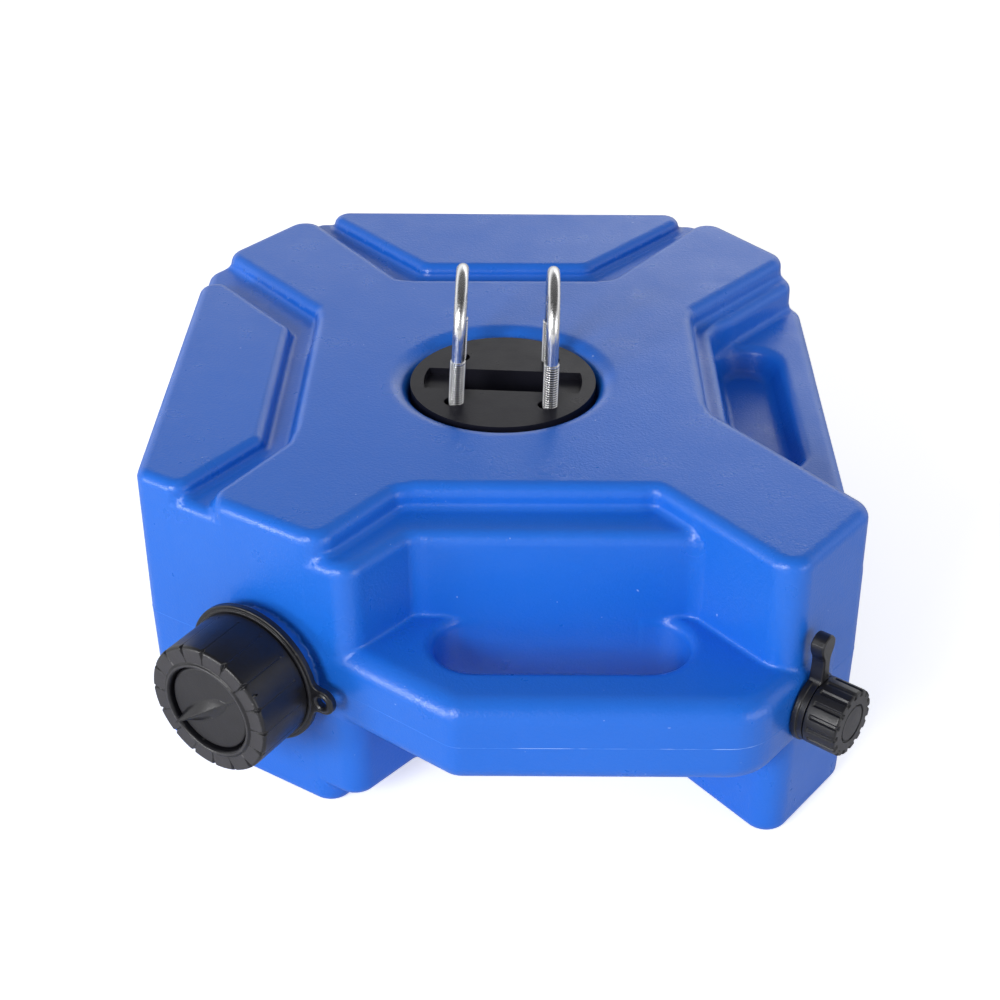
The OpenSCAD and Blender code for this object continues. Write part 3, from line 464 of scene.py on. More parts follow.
def piece(name, points, faces, body, material, stands_for=(), normals=None):
    """A mesh piece, in millimetres, that rides on a body and takes its finish from a material's slot."""
    mesh = bpy.data.meshes.new(name)
    corners = [tuple(p) for p in np.asarray(points) * MM]
    mesh.from_pydata(corners, [], [tuple(int(i) for i in f) for f in faces])
    mesh.shade_smooth()
    obj = bpy.data.objects.new(name, mesh)
    bpy.context.scene.collection.objects.link(obj)
    obj.data.materials.append(material)
    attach(obj, body)
    if stands_for:
        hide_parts(*stands_for)
    if normals is not None:
        mesh.normals_split_custom_set_from_vertices([tuple(n) for n in normals])
    return obj


# Cosine of the widest angle to the neck at which a face still takes the lighter end material, whose grey is
# partly painted sheen
END_FACING = 0.93


def field_piece(name, distance, low, high, step, neck, body, material, stands_for=(), sheen_end_material=None):
    """A piece from a distance field in a neck's frame; sheen_end_material, a lighter copy with painted sheen,
    covers what faces out along the neck.
    """
    points, quads = surface_net(distance, low, high, step)
    points, normals = settle(distance, points, step)
    turn = np.array([neck.down, neck.side, neck.out])
    obj = piece(name, neck.world(points), quads, body, material, stands_for, normals @ turn)
    if sheen_end_material:
        obj.data.materials.append(sheen_end_material)
        # Faces that look out along the neck take the lighter material with painted sheen
        sheen_end_faces = normals[quads].mean(1)[:, 2] > END_FACING
        obj.data.polygons.foreach_set("material_index", sheen_end_faces.astype(np.int32))


# Materials. Object coordinates are in metres, so a scale of 1000 gives features of about a millimetre.
class Finish:
    """A principled material that is built up node by node."""

    def __init__(self, name, slot, colour, roughness, metallic=0.0):
        self.material = bpy.data.materials.new(name)
        self.material.use_nodes = True
        self.material["slot"] = slot
        self.tree = self.material.node_tree
        self.shader = self.tree.nodes["Principled BSDF"]
        self.place = self.add("ShaderNodeTexCoord").outputs["Object"]
        self.set(self.shader, **{"Base Color": (*colour, 1), "Roughness": roughness, "Metallic": metallic})

    def add(self, kind):
        return self.tree.nodes.new(kind)

    def link(self, a, b):
        self.tree.links.new(a, b)

    @staticmethod
    def set(node, **values):
        for name, value in values.items():
            node.inputs[name.replace("_", " ")].default_value = value

    def noise(self, scale, detail=2.0, stretch=None):
        """Noise, from 0 to 1, at a scale; stretch gives the scale of each axis its own factor."""
        node = self.add("ShaderNodeTexNoise")
        self.set(node, Scale=scale, Detail=detail, Roughness=0.55)
        place = self.place
        if stretch:
            mapping = self.add("ShaderNodeMapping")
            self.set(mapping, Scale=stretch)
            self.link(place, mapping.inputs["Vector"])
            place = mapping.outputs["Vector"]
        self.link(place, node.inputs["Vector"])
        return node.outputs["Fac"]

    def ramp(self, value, low, high, to_low=0.0, to_high=1.0):
        """Maps low..high to to_low..to_high and stops there."""
        node = self.add("ShaderNodeMapRange")
        self.set(node, From_Min=low, From_Max=high, To_Min=to_low, To_Max=to_high)
        self.link(value, node.inputs["Value"])
        return node.outputs["Result"]

    def times(self, a, b):
        node = self.add("ShaderNodeMath")
        node.operation = "MULTIPLY"
        self.link(a, node.inputs[0])
        if isinstance(b, float):
            node.inputs[1].default_value = b
        else:
            self.link(b, node.inputs[1])
        return node.outputs["Value"]

    def tint(self, amount, colour):
        """Mixes a colour over the base colour by an amount."""
        mix = self.add("ShaderNodeMix")
        mix.data_type = "RGBA"
        base = self.shader.inputs["Base Color"]
        if base.is_linked:
            self.link(base.links[0].from_socket, mix.inputs["A"])
        else:
            mix.inputs["A"].default_value = base.default_value
        mix.inputs["B"].default_value = (*colour, 1)
        self.link(amount, mix.inputs["Factor"])
        self.link(mix.outputs["Result"], base)

    def roughness(self, value):
        self.link(value, self.shader.inputs["Roughness"])

    def bump(self, height, strength, depth):
        """Bump of a depth in metres, over the bump that is already there."""
        node = self.add("ShaderNodeBump")
        self.set(node, Strength=strength, Distance=depth)
        self.link(height, node.inputs["Height"])
        normal = self.shader.inputs["Normal"]
        if normal.is_linked:
            self.link(normal.links[0].from_socket, node.inputs["Normal"])
        self.link(node.outputs["Normal"], normal)

    def edges(self, low, high):
        """Share of outer edge, from 0 to 1, where wear and painted edge highlights go."""
        return self.ramp(self.add("ShaderNodeNewGeometry").outputs["Pointiness"], low, high)


def blue_plastic():
    """Satin blue moulded plastic: fine grain, a little mottling, pale edges that are partly scuffs and partly
    painted highlight, and dust specks.
    """
    f = Finish("blue_plastic", "shell", (0.009, 0.135, 0.64), 0.36)
    f.tint(f.ramp(f.noise(18.0, 3.0), 0.35, 0.75, 0.0, 0.16), (0.03, 0.18, 0.72))
    # Pale outer edges: scuffs, with painted highlight standing in for the sparkle of lit edges
    wear_and_glint = f.times(f.edges(0.53, 0.62), f.ramp(f.noise(700.0, 4.0), 0.45, 0.75))
    f.tint(f.times(wear_and_glint, 0.6), (0.40, 0.56, 0.94))
    specks = f.ramp(f.noise(420.0, 1.0), 0.79, 0.83, 0.0, 0.5)
    f.tint(specks, (0.45, 0.60, 0.95))
    f.roughness(f.ramp(f.noise(60.0, 4.0), 0.3, 0.7, 0.26, 0.36))
    f.bump(f.noise(1100.0, 3.0), 0.34, 0.0004)
    f.bump(f.noise(90.0, 2.0), 0.08, 0.0006)
    return f.material


def parting_plastic():
    """Flash along the parting line: the shell's plastic, paler, with paler dashes along it."""
    f = Finish("parting_plastic", "shell", (0.03, 0.19, 0.72), 0.42)
    f.tint(f.ramp(f.noise(60.0, 3.0), 0.53, 0.63, 0.0, 0.75), (0.36, 0.54, 0.94))
    f.bump(f.noise(1500.0), 0.2, 0.0003)
    return f.material


def black_plastic(name, slot, colour, roughness, grain, gloss=0.5, wear_and_glint=0.7):
    """Black plastic with a fine grain, grey on outer edges that is partly scuffs and partly painted
    highlight, and dust.
    """
    f = Finish(name, slot, colour, roughness)
    f.set(f.shader, Specular_IOR_Level=gloss)
    grey = tuple(c + 0.05 for c in colour)
    f.tint(f.ramp(f.noise(45.0, 4.0), 0.45, 0.8, 0.0, 0.12), grey)
    # Grey on outer edges: scuffs, with painted highlight where edges catch the light
    f.tint(f.times(f.edges(0.54, 0.66), f.ramp(f.noise(500.0, 3.0), 0.35, 0.7, 0.0, wear_and_glint)),
           tuple(c + 0.16 for c in colour))
    f.roughness(f.ramp(f.noise(120.0, 4.0), 0.3, 0.7, roughness - 0.05, roughness + 0.08))
    f.bump(f.noise(1300.0, 3.0), grain, 0.0003)
    return f.material


def steel(name, roughness, streak, shade_thread_roots=False):
    """Bright steel with fine streaks and a little haze; shade_thread_roots paints shade into the roots of a
    thread.
    """
    f = Finish(name, "steel", (0.68, 0.68, 0.69), roughness, 1.0)
    lines = f.noise(1.0, 2.0, streak)
    f.tint(f.ramp(f.noise(70.0, 4.0), 0.4, 0.8, 0.0, 0.3), (0.45, 0.45, 0.47))
    if shade_thread_roots:
        # Painted shade: the roots of a thread are darkened, by an attribute that marks them
        root = f.add("ShaderNodeAttribute")
        root.attribute_name = "thread_root_shade"
        f.tint(f.ramp(root.outputs["Fac"], 0.25, 0.8, 0.0, 0.9), (0.05, 0.05, 0.055))
    f.roughness(f.ramp(lines, 0.3, 0.7, roughness - 0.06, roughness + 0.1))
    f.bump(lines, 0.06, 0.0002)
    return f.material


def rubber():
    """Matt black rubber."""
    f = Finish("rubber", "seal_rubber", (0.016, 0.016, 0.017), 0.75)
    f.tint(f.ramp(f.noise(150.0, 4.0), 0.4, 0.8, 0.0, 0.3), (0.05, 0.05, 0.05))
    f.bump(f.noise(1500.0, 3.0), 0.35, 0.0004)
    return f.material


BLUE = blue_plastic()
PARTING = parting_plastic()
CAP_BLACK = black_plastic("cap_black", "cap_plastic", (0.007, 0.007, 0.010), 0.34, 0.14)
# Lighter greys of the cap black for end faces: a matt face finish, with painted sheen in their lighter colour
CAP_END_SHEEN = black_plastic("cap_end_sheen", "cap_plastic", (0.033, 0.032, 0.038), 0.50, 0.30)
CAP_DISC_SHEEN = black_plastic("cap_disc_sheen", "cap_plastic", (0.013, 0.0125, 0.016), 0.42, 0.20)
PLATE_BLACK = black_plastic("plate_black", "plate_plastic", (0.010, 0.010, 0.016), 0.32, 0.10, 0.20, 0.1)
ROD_STEEL = steel("rod_steel", 0.22, (2200.0, 2200.0, 60.0), True)
HARDWARE_STEEL = steel("hardware_steel", 0.28, (900.0, 900.0, 900.0))
RUBBER = rubber()


# The shell
SHELL_STEP = 1.5


def shell():
    """The moulded shell, from its distance field."""
    edge = 3 * SHELL_STEP
    low = [span("can_body", 0)[0] - hole[0] - edge, span("can_body", 1)[0] - hole[1] - edge, -FACE_H - edge]
    high = [span("can_body", 0)[1] - hole[0] + edge, span("can_body", 1)[1] - hole[1] + edge, FACE_H + edge]
    points, quads = surface_net(can_distance, low, high, SHELL_STEP)
    points, normals = settle(can_distance, points, SHELL_STEP)
    piece("shell", points + [*hole, MID], quads, "can", BLUE, ["can_body"], normals)


def helix(angle, l, start, pitch, turns, foot, crest):
    """Height, from 0 to 1, of a helical ridge of a foot and a crest width."""
    share = np.mod(angle, 2 * np.pi) / (2 * np.pi)
    phase = (l - start) / pitch - share
    whole = np.clip(np.round(phase), 0, np.ceil(turns))
    run = whole + share
    off = np.abs(phase - whole) * pitch
    ends = np.clip(np.minimum(run, turns - run) * THREAD_FADE + 0.5, 0, 1)
    return np.clip((foot / 2 - off) / (foot / 2 - crest / 2), 0, 1) * ends


# Threads, as in the solid parts: root and crest radius, pitch, and the room in turns that they leave free
FILLER_ROOT_R, FILLER_CREST_R, FILLER_PITCH, FILLER_ROOM = 19.5, 21.0, 4.0, 1.75
VENT_ROOT_R, VENT_CREST_R, VENT_PITCH, VENT_ROOM = 7.1, 8.0, 2.5, 1.2
# Gap between matching threads, and how fast a thread runs out at its ends
THREAD_GAP, THREAD_FADE = 0.6, 16
# Plain stems of the necks below their threads, and half the width of the boxes that the necks are drawn in
FILLER_STEM_R, VENT_STEM_R = 21.75, 8.45
FILLER_NECK_BOX, VENT_NECK_BOX = 24, 10
collar_low, collar_face = filler.reach("filler_collar")
FILLER_LIP = filler.reach("filler_gasket")[0] - RUN_GAP
VENT_LIP = vent.reach("vent_seal")[0] - RUN_GAP
FILLER_TURNS = (FILLER_LIP - collar_low - FILLER_ROOM * FILLER_PITCH) / FILLER_PITCH
VENT_TURNS = (VENT_LIP - cap_low - VENT_ROOM * VENT_PITCH) / VENT_PITCH


def neck_distance(x, y, l, stem_r, stem_high, root_r, crest_r, lip, bore_r, thread):
    """A neck: its stem, its threaded pipe and its bore."""
    foot, lip_edge, stem_edge = 1.0, 0.5, 0.3
    r = np.hypot(x, y)
    pipe = disc(r - thread * (crest_r - root_r), l, root_r, foot, lip, lip_edge)
    d = np.minimum(pipe, disc(r, l, stem_r, foot, stem_high, stem_edge))
    return np.maximum(d, bore_r - r)


def necks():
    """The two threaded necks, which belong to the shell."""
    def filler_neck(x, y, l):
        thread = helix(np.arctan2(y, x), l, collar_low + FILLER_PITCH, FILLER_PITCH, FILLER_TURNS,
                       FILLER_PITCH * 0.5, FILLER_PITCH * 0.25)
        return neck_distance(x, y, l, FILLER_STEM_R, collar_low - RUN_GAP, FILLER_ROOT_R, FILLER_CREST_R,
                             FILLER_LIP, FILLER_BORE_R, thread)

    def vent_neck(x, y, l):
        thread = helix(np.arctan2(y, x), l, cap_low + VENT_PITCH / 2, VENT_PITCH, VENT_TURNS,
                       VENT_PITCH * 0.4, VENT_PITCH * 0.2)
        return neck_distance(x, y, l, VENT_STEM_R, cap_low - RUN_GAP, VENT_ROOT_R, VENT_CREST_R,
                             VENT_LIP, VENT_BORE_R, thread)

    low, side = -0.5, FILLER_NECK_BOX
    field_piece("filler_neck", filler_neck, (-side, -side, low), (side, side, FILLER_LIP + 2), 0.5,
                filler, "can", BLUE)
    side = VENT_NECK_BOX
    field_piece("vent_neck", vent_neck, (-side, -side, low), (side, side, VENT_LIP + 1), 0.25,
                vent, "can", BLUE)


def parting_line():
    """Thin flash along the parting plane: a low ridge on the shell's middle section."""
    step, half_width, proud, sunk, crest_share = 1.0, 0.15, 0.06, 0.25, 0.6
    edge_x, edge_y, off_hole = 5, 3, 2
    xs = np.arange(-SIDE_X - edge_x, SIDE_X + edge_x, step)
    ys = np.arange(span("can_body", 1)[0] - hole[1] - edge_y, span("can_body", 1)[1] - hole[1] + edge_y, step)
    flat = np.zeros((1, 1), np.float32)
    field = can_distance(xs[:, None].astype(np.float32), ys[None, :].astype(np.float32), flat)
    spots, numbers, pairs = [], {}, []

    def crossing(a, b):
        key = (a, b)
        if key not in numbers:
            share = field[a] / (field[a] - field[b])
            numbers[key] = len(spots)
            ax, ay, bx, by = xs[a[0]], ys[a[1]], xs[b[0]], ys[b[1]]
            spots.append((ax + (bx - ax) * share, ay + (by - ay) * share, 0.0))
        return numbers[key]

    inside = field < 0
    mixed = inside[:-1, :-1].astype(int) + inside[1:, :-1] + inside[:-1, 1:] + inside[1:, 1:]
    for i, j in np.argwhere((mixed > 0) & (mixed < 4)):
        edges = [((i, j), (i + 1, j)), ((i + 1, j), (i + 1, j + 1)),
                 ((i, j + 1), (i + 1, j + 1)), ((i, j), (i, j + 1))]
        cut = [crossing(a, b) for a, b in edges if inside[a] != inside[b]]
        if len(cut) == 2:
            pairs.append(cut)
    middle, normals = settle(can_distance, np.array(spots), step)
    r = np.hypot(middle[:, 0], middle[:, 1])
    in_slot = slot_distance(middle[:, 0], middle[:, 1]) < step
    upright = np.array([0, 0, half_width])
    rails = [middle - normals * sunk - upright, middle - upright * crest_share + normals * proud,
             middle + upright * crest_share + normals * proud, middle - normals * sunk + upright]
    count = len(middle)
    faces = []
    for a, b in pairs:
        if r[a] < HOLE_R + off_hole or in_slot[a]:
            continue
        along_wall = np.cross(normals[a], middle[b] - middle[a])[2]
        a, b = (a, b) if along_wall > 0 else (b, a)
        faces += [(a + k * count, b + k * count, b + (k + 1) * count, a + (k + 1) * count) for k in range(3)]
    used = sorted({i for f in faces for i in f})
    renumber = {v: i for i, v in enumerate(used)}
    points = np.concatenate(rails)[used] + [*hole, MID]
    piece("parting_line", points, [[renumber[i] for i in f] for f in faces], "can", PARTING)


# The filler's pieces: collar, its opening, the lip's depth, and the stopper's flange and plug
COLLAR_R, COLLAR_OPEN_R, LIP_T = 25.4, 17.2, 3.9
FLANGE_T, PLUG_L, PLUG_BORE_R = 2.5, 10.0, 13.4
COLLAR_EDGE_R, BACK_EDGE_R = 1.3, 0.5
# Grip notches: count, depth at the rim and along the side, slope of their walls, run on the face, rim inset
NOTCHES, NOTCH_D, NOTCH_SIDE_D, NOTCH_SLOPE, NOTCH_RUN, RIM_IN = 16, 1.0, 0.16, 1.2, 4.6, 1.2
# Dots at the foot of each notch: radius, height and place above the collar's back
DOT_R, DOT_H, DOT_AT = 0.45, 0.18, 3.4
# Bead around the collar's opening: radius, place outside the opening and depth of its middle
BEAD_R, BEAD_OUT, BEAD_IN = 0.9, 1.0, 0.15
# Fin on the stopper: angle of its tall end below the wall's line, reach to both sides, height and half width
FIN_TURN = math.radians(34.5)
FIN_TALL, FIN_LOW, FIN_H, FIN_W = 15.6, 9.7, 5.4, 3.2
# Tether ring and its ear
FILLER_RING_R, RING_BORE_R, BAND_IN = 27.8, 22.05, 1.5
EYELET_AT, EAR_R, EYELET_R, EYELET_RIM_R, EYELET_RIM_H = 31.0, 5.0, 2.0, 3.1, 0.45


def notch_offset(r, angle, count):
    """Distance from the middle of the nearest of a count of notches around a cap."""
    pitch = 2 * np.pi / count
    return np.abs(r * np.sin(np.mod(angle + pitch / 2, pitch) - pitch / 2))


def collar_distance(x, y, l):
    """Screw collar: notches around its rim that run out over the face and down the side."""
    r, angle = np.hypot(x, y), np.arctan2(y, x)
    rim = COLLAR_R - RIM_IN
    d = corner_round(r - COLLAR_R, l - collar_face, COLLAR_EDGE_R)
    d = corner_round(d, collar_low - l, BACK_EDGE_R)
    off = notch_offset(r, angle, NOTCHES)
    over_face = np.clip((r - rim + NOTCH_RUN) / NOTCH_RUN, 0, 1) ** 1.5
    on_face = over_face * np.clip((l - collar_face + 2.4) / 1.4, 0, 1)
    on_side = NOTCH_SIDE_D * np.clip((l - collar_low - 3.0) / 0.8, 0, 1)
    d = d + np.maximum(np.maximum(NOTCH_D * on_face, on_side) - off * NOTCH_SLOPE, 0)
    dot = (off ** 2 + (l - collar_low - DOT_AT) ** 2) / DOT_R ** 2
    d = d - DOT_H * np.exp(-dot) * (r > COLLAR_R - 2)
    thread = helix(angle, l, collar_low + 1.5 * FILLER_PITCH, FILLER_PITCH, FILLER_TURNS,
                   FILLER_PITCH * 0.45, FILLER_PITCH * 0.25)
    bore = np.maximum(r - FILLER_CREST_R - THREAD_GAP + thread * (FILLER_CREST_R - FILLER_ROOT_R),
                      l - collar_face + LIP_T)
    bead = np.hypot(r - COLLAR_OPEN_R - BEAD_OUT, l - collar_face + BEAD_IN) - BEAD_R
    d = round_join(round_cut(d, r - COLLAR_OPEN_R, BACK_EDGE_R), bead, 0.4)
    return np.maximum(d, -bore)


def stopper_distance(x, y, l):
    """Stopper: a disc with a wedge fin, on a flange with a plug below."""
    r = np.hypot(x, y)
    sunk, fin_root = 1.0, 1.5
    face = collar_face - sunk
    flange_high = collar_face - LIP_T - RUN_GAP
    flange_low = flange_high - FLANGE_T
    d = disc(r, l, COLLAR_OPEN_R - 2 * RUN_GAP, flange_low, face, 1.1)
    run = x * math.sin(FIN_TURN) - y * math.cos(FIN_TURN)
    off = np.abs(x * math.cos(FIN_TURN) + y * math.sin(FIN_TURN))
    share = np.clip((run + FIN_LOW) / (FIN_TALL + FIN_LOW), 0, 1)
    width = FIN_W * np.clip(4 * share * (1 - share), 0, 1) ** 0.7 + 0.25
    top = FIN_H * share * np.clip(1 - off / width, 0, 1) ** 0.85
    fin = np.maximum((l - face - top) * 0.5, face - fin_root - l)
    fin = np.maximum(fin, np.maximum(off - width, run - FIN_TALL))
    d = round_join(d, fin, 0.5)
    d = np.minimum(d, disc(r, l, FILLER_CREST_R, flange_low, flange_high, 0.4))
    plug = disc(r, l, FILLER_BORE_R - 2 * RUN_GAP, flange_low - PLUG_L, flange_low + 0.5, 0.5)
    return np.minimum(d, np.maximum(plug, PLUG_BORE_R - r))


def ear_ring_distance(x, y, l):
    """Tether ring with an ear; a raised rim goes round the eyelet."""
    r, ear = np.hypot(x, y), np.hypot(x, y - EYELET_AT)
    plan = round_join(r - FILLER_RING_R, ear - EAR_R, 3.5)
    plan = np.maximum(plan, -(r - RING_BORE_R))
    lift = EYELET_RIM_H * np.clip(1.5 - np.abs(ear - EYELET_RIM_R) * 1.6, 0, 1)
    d = corner_round(plan, np.maximum(l - ring_high + 0.5 - lift, ring_low - l), 0.55)
    raised_band = corner_round(np.maximum(r - FILLER_RING_R + BAND_IN, RING_BORE_R - r),
                               np.maximum(l - ring_high, ring_low - l), 0.4)
    return round_cut(np.minimum(d, raised_band), ear - EYELET_R, 0.35)


def filler_pieces():
    """Collar, stopper and tether ring."""
    side = COLLAR_R + 1
    field_piece("collar", collar_distance, (-side, -side, collar_low - 1), (side, side, collar_face + 1.5),
                0.34, filler, "collar", CAP_BLACK, ["filler_collar"], CAP_END_SHEEN)
    low, high = filler.reach("filler_stopper")
    field_piece("stopper", stopper_distance, (-22, -22, low - 1), (22, 22, high + 1), 0.36,
                filler, "stopper", CAP_BLACK, ["filler_stopper"], CAP_DISC_SHEEN)
    field_piece("filler_ring", ear_ring_distance, (-29, -29, ring_low - 1), (29, 37, ring_high + 1), 0.36,
                filler, "filler_ring", CAP_BLACK, ["filler_tether_ring"])


# The vent's pieces: its cap with flutes and a disc that is set off by a groove, and its ring with a tab
VENT_CAP_R, VENT_TOP_T, VENT_RIBS, FLUTE_D, FLUTE_W = 12.4, 3.5, 16, 0.62, 1.05
VENT_DISC_R, GROOVE_D, DISC_SUNK = 7.2, 0.55, 0.15
TAB_AT, TAB_R, TAB_W, TAB_T = 27.4, 4.0, 4.8, 5.3
VENT_RING_BORE_R, RING_STEP = 8.75, 0.6


def vent_cap_distance(x, y, l):
    """Small screw cap: flutes down its side, a wavy rim and a sunk disc on its face."""
    r, angle = np.hypot(x, y), np.arctan2(y, x)
    off = notch_offset(r, angle, VENT_RIBS)
    d = corner_round(r - VENT_CAP_R, l - cap_face, 1.0)
    d = corner_round(d, cap_low - l, 0.4)
    flute = np.clip((FLUTE_W - off) * 1.6, 0, 1) * np.clip((l - cap_low - 1.5) / 0.5, 0, 1)
    d = d + FLUTE_D * (flute * (r > VENT_CAP_R - 2.2))
    groove = GROOVE_D * np.clip(1.4 - np.abs(r - VENT_DISC_R + 0.35) * 3.0, 0, 1)
    d = d + (groove + DISC_SUNK * (r < VENT_DISC_R)) * (l > cap_face - 1.5)
    thread = helix(angle, l, cap_low + VENT_PITCH, VENT_PITCH, VENT_TURNS,
                   VENT_PITCH * 0.32, VENT_PITCH * 0.16)
    bore = np.maximum(r - VENT_CREST_R - THREAD_GAP + thread * (VENT_CREST_R - VENT_ROOT_R + THREAD_GAP / 2),
                      l - cap_face + VENT_TOP_T)
    return np.maximum(d, -bore)


def tab_ring_distance(x, y, l):
    """Stepped tether ring with a thick tab, narrower between its head and the ring."""
    low, high = vent_ring_low, cap_low - RUN_GAP
    r, upper_r = np.hypot(x, y), VENT_RING_R - RING_STEP
    d = disc(r, l, VENT_RING_R, low, low + (high - low) / 2 + 0.1, 0.5)
    d = np.minimum(d, disc(r, l, upper_r, low + 1.2, high, 0.6))
    waist = TAB_W / 2 - 0.35 * np.exp(-((x + TAB_AT - 7.5) / 4.0) ** 2)
    stem = np.maximum(np.abs(y) - waist, np.maximum(x + 6.0, -x - TAB_AT))
    plan = round_join(round_join(stem, np.hypot(x + TAB_AT, y) - TAB_R, 2.5), r - upper_r, 2.0)
    tab = corner_round(plan, np.maximum(l - low - TAB_T, low - l), 0.7)
    tab = np.maximum(tab, -np.maximum(r - VENT_CAP_R - RUN_GAP, high - l))
    return np.maximum(np.minimum(d, tab), VENT_RING_BORE_R - r)


def vent_pieces():
    """Vent cap and tether ring."""
    side = VENT_CAP_R + 1
    field_piece("vent_cap_skin", vent_cap_distance, (-side, -side, cap_low - 1), (side, side, cap_face + 1),
                0.22, vent, "vent_screw_cap", CAP_BLACK, ["vent_cap"], CAP_END_SHEEN)
    field_piece("vent_ring_skin", tab_ring_distance, (-TAB_AT - TAB_R - 1, -14, vent_ring_low - 1),
                (14, 14, vent_ring_low + TAB_T + 1), 0.25, vent, "vent_ring", CAP_BLACK, ["vent_tether_ring"])


# The U-bolts
ROD_R, SHANK_R, ROD_SIDES = 3.0, 2.45, 28
# Rolled thread: pitch, depth, height above the plate, and the bevel at a leg's end as depth and length
ROD_PITCH, ROD_DEPTH, THREAD_RISE = 1.0, 0.42, 17.5
END_BEVEL, END_BEVEL_L = 0.7, 0.8
# How the bolts sit in their holes: lean of each, turn about its middle, shift to the right, drop of the crown
BOLT_LEAN = {"u_bolt_left": math.radians(3.2), "u_bolt_right": math.radians(1.5)}
BOLT_TURN, BOLT_SHIFT, BOLT_DROP = math.radians(4.0), 0.2, 1.7


def tube(path, radius, sides):
    """Points and quads of a round tube along a path; radius is one value for each ring and side."""
    ahead = np.gradient(path, axis=0)
    ahead /= np.linalg.norm(ahead, axis=1, keepdims=True)
    across = np.tile(path_side(path), (len(path), 1))
    up = np.cross(ahead, across)
    turn = np.linspace(0, 2 * np.pi, sides, endpoint=False)
    rings = (path[:, None] + radius[:, :, None] * (across[:, None] * np.cos(turn)[None, :, None]
                                                    + up[:, None] * np.sin(turn)[None, :, None]))
    faces = []
    for i in range(len(path) - 1):
        for j in range(sides):
            k = (j + 1) % sides
            faces.append((i * sides + j, i * sides + k, (i + 1) * sides + k, (i + 1) * sides + j))
    last = (len(path) - 1) * sides
    faces.append(tuple(range(sides))[::-1])
    faces.append(tuple(range(last, last + sides)))
    return rings.reshape(-1, 3), faces


def path_side(path):
    """Unit vector square to the plane of a flat path."""
    return unit(np.cross(path[-1] - path[0], path[len(path) // 2] - path[0]))


def u_bolt(node):
    """A bent rod with rolled thread on its legs, which leans and turns a little in its holes."""
    points = node_points(node)
    foot, crown = points[:, 2].min(), points[:, 2].max()
    ends = points[points[:, 2] < foot + 0.2][:, :2]
    far = ends[:, 1] > ends[:, 1].mean()
    a, b = [(ends[s].min(0) + ends[s].max(0)) / 2 for s in (~far, far)]
    half = np.linalg.norm(b - a) / 2
    middle, side = (a + b) / 2 + [BOLT_SHIFT, 0], (b - a) / (2 * half)
    cos, sin = math.cos(BOLT_TURN), math.sin(BOLT_TURN)
    side = side @ [[cos, sin], [-sin, cos]]
    bend = crown - BOLT_DROP - half - SHANK_R
    level = span("mount_plate", 2)[1]
    thread_top = level + THREAD_RISE
    fine = np.arange(foot, thread_top + 1.2, ROD_PITCH / 10)
    plain = np.arange(thread_top + 1.4, bend, 1.5)
    leg = np.concatenate([fine, plain])
    arc = np.linspace(0, np.pi, 49)
    s = np.concatenate([np.full(len(leg), -half), -half * np.cos(arc), np.full(len(leg), half)])
    z = np.concatenate([leg, bend + half * np.sin(arc), leg[::-1]])
    path = np.column_stack([middle[0] + side[0] * s, middle[1] + side[1] * s, z])
    turn = np.linspace(0, 1, ROD_SIDES, endpoint=False)
    wave = np.abs(np.mod(z[:, None] / ROD_PITCH - np.sign(s)[:, None] * turn[None, :], 1.0) * 2 - 1)
    depth = ROD_DEPTH * np.clip((thread_top - z) / ROD_PITCH, 0, 1)
    end = np.clip((z - foot) / END_BEVEL_L, 0, 1)
    radius = np.where(z < thread_top, ROD_R, SHANK_R)[:, None] - depth[:, None] * wave
    radius = np.minimum(radius, ROD_R - END_BEVEL + END_BEVEL * end[:, None])
    rings, faces = tube(path, radius, ROD_SIDES)
    rings[:, 0] += np.maximum(rings[:, 2] - level, 0) * math.tan(BOLT_LEAN[node])
    skin = piece(node + "_rod", rings, faces, "can", ROD_STEEL, [node])
    # Attribute that marks the thread's roots, where the steel gets painted shade
    thread_root_shade = skin.data.attributes.new("thread_root_shade", "FLOAT", "POINT")
    thread_root_shade.data.foreach_set("value", (wave * (depth / ROD_DEPTH)[:, None]).ravel().astype(np.float32))


# Solid parts that are shown as they are, with the width of their softened edges
SOFT_EDGES = {
    "mount_plate": (PLATE_BLACK, 0.6), "lock_knob": (PLATE_BLACK, 0.9), "lock_spindle": (HARDWARE_STEEL, 0.4),
    "spindle_pin": (HARDWARE_STEEL, 0.3), "lock_cylinder": (HARDWARE_STEEL, 0.3),
    "u_bolt_nuts": (HARDWARE_STEEL, 0.3), "u_bolt_washers": (HARDWARE_STEEL, 0.2),
    "knob_washer": (RUBBER, 0.3), "filler_gasket": (RUBBER, 0.3), "vent_seal": (RUBBER, 0.2),
}


def dress_solids():
    """Materials and softened edges for the solid parts."""
    for node, (material, width) in SOFT_EDGES.items():
        obj = nodes[node]
        obj.data.materials.clear()
        obj.data.materials.append(material)
        weld = obj.modifiers.new("weld", "WELD")
        weld.merge_threshold = 1e-6
        bevel = obj.modifiers.new("soft_edges", "BEVEL")
        bevel.width = width * MM
        bevel.segments = 3
        bevel.limit_method = "ANGLE"
        bevel.angle_limit = math.radians(40)
        normals = obj.modifiers.new("normals", "WEIGHTED_NORMAL")
        normals.weight = 80


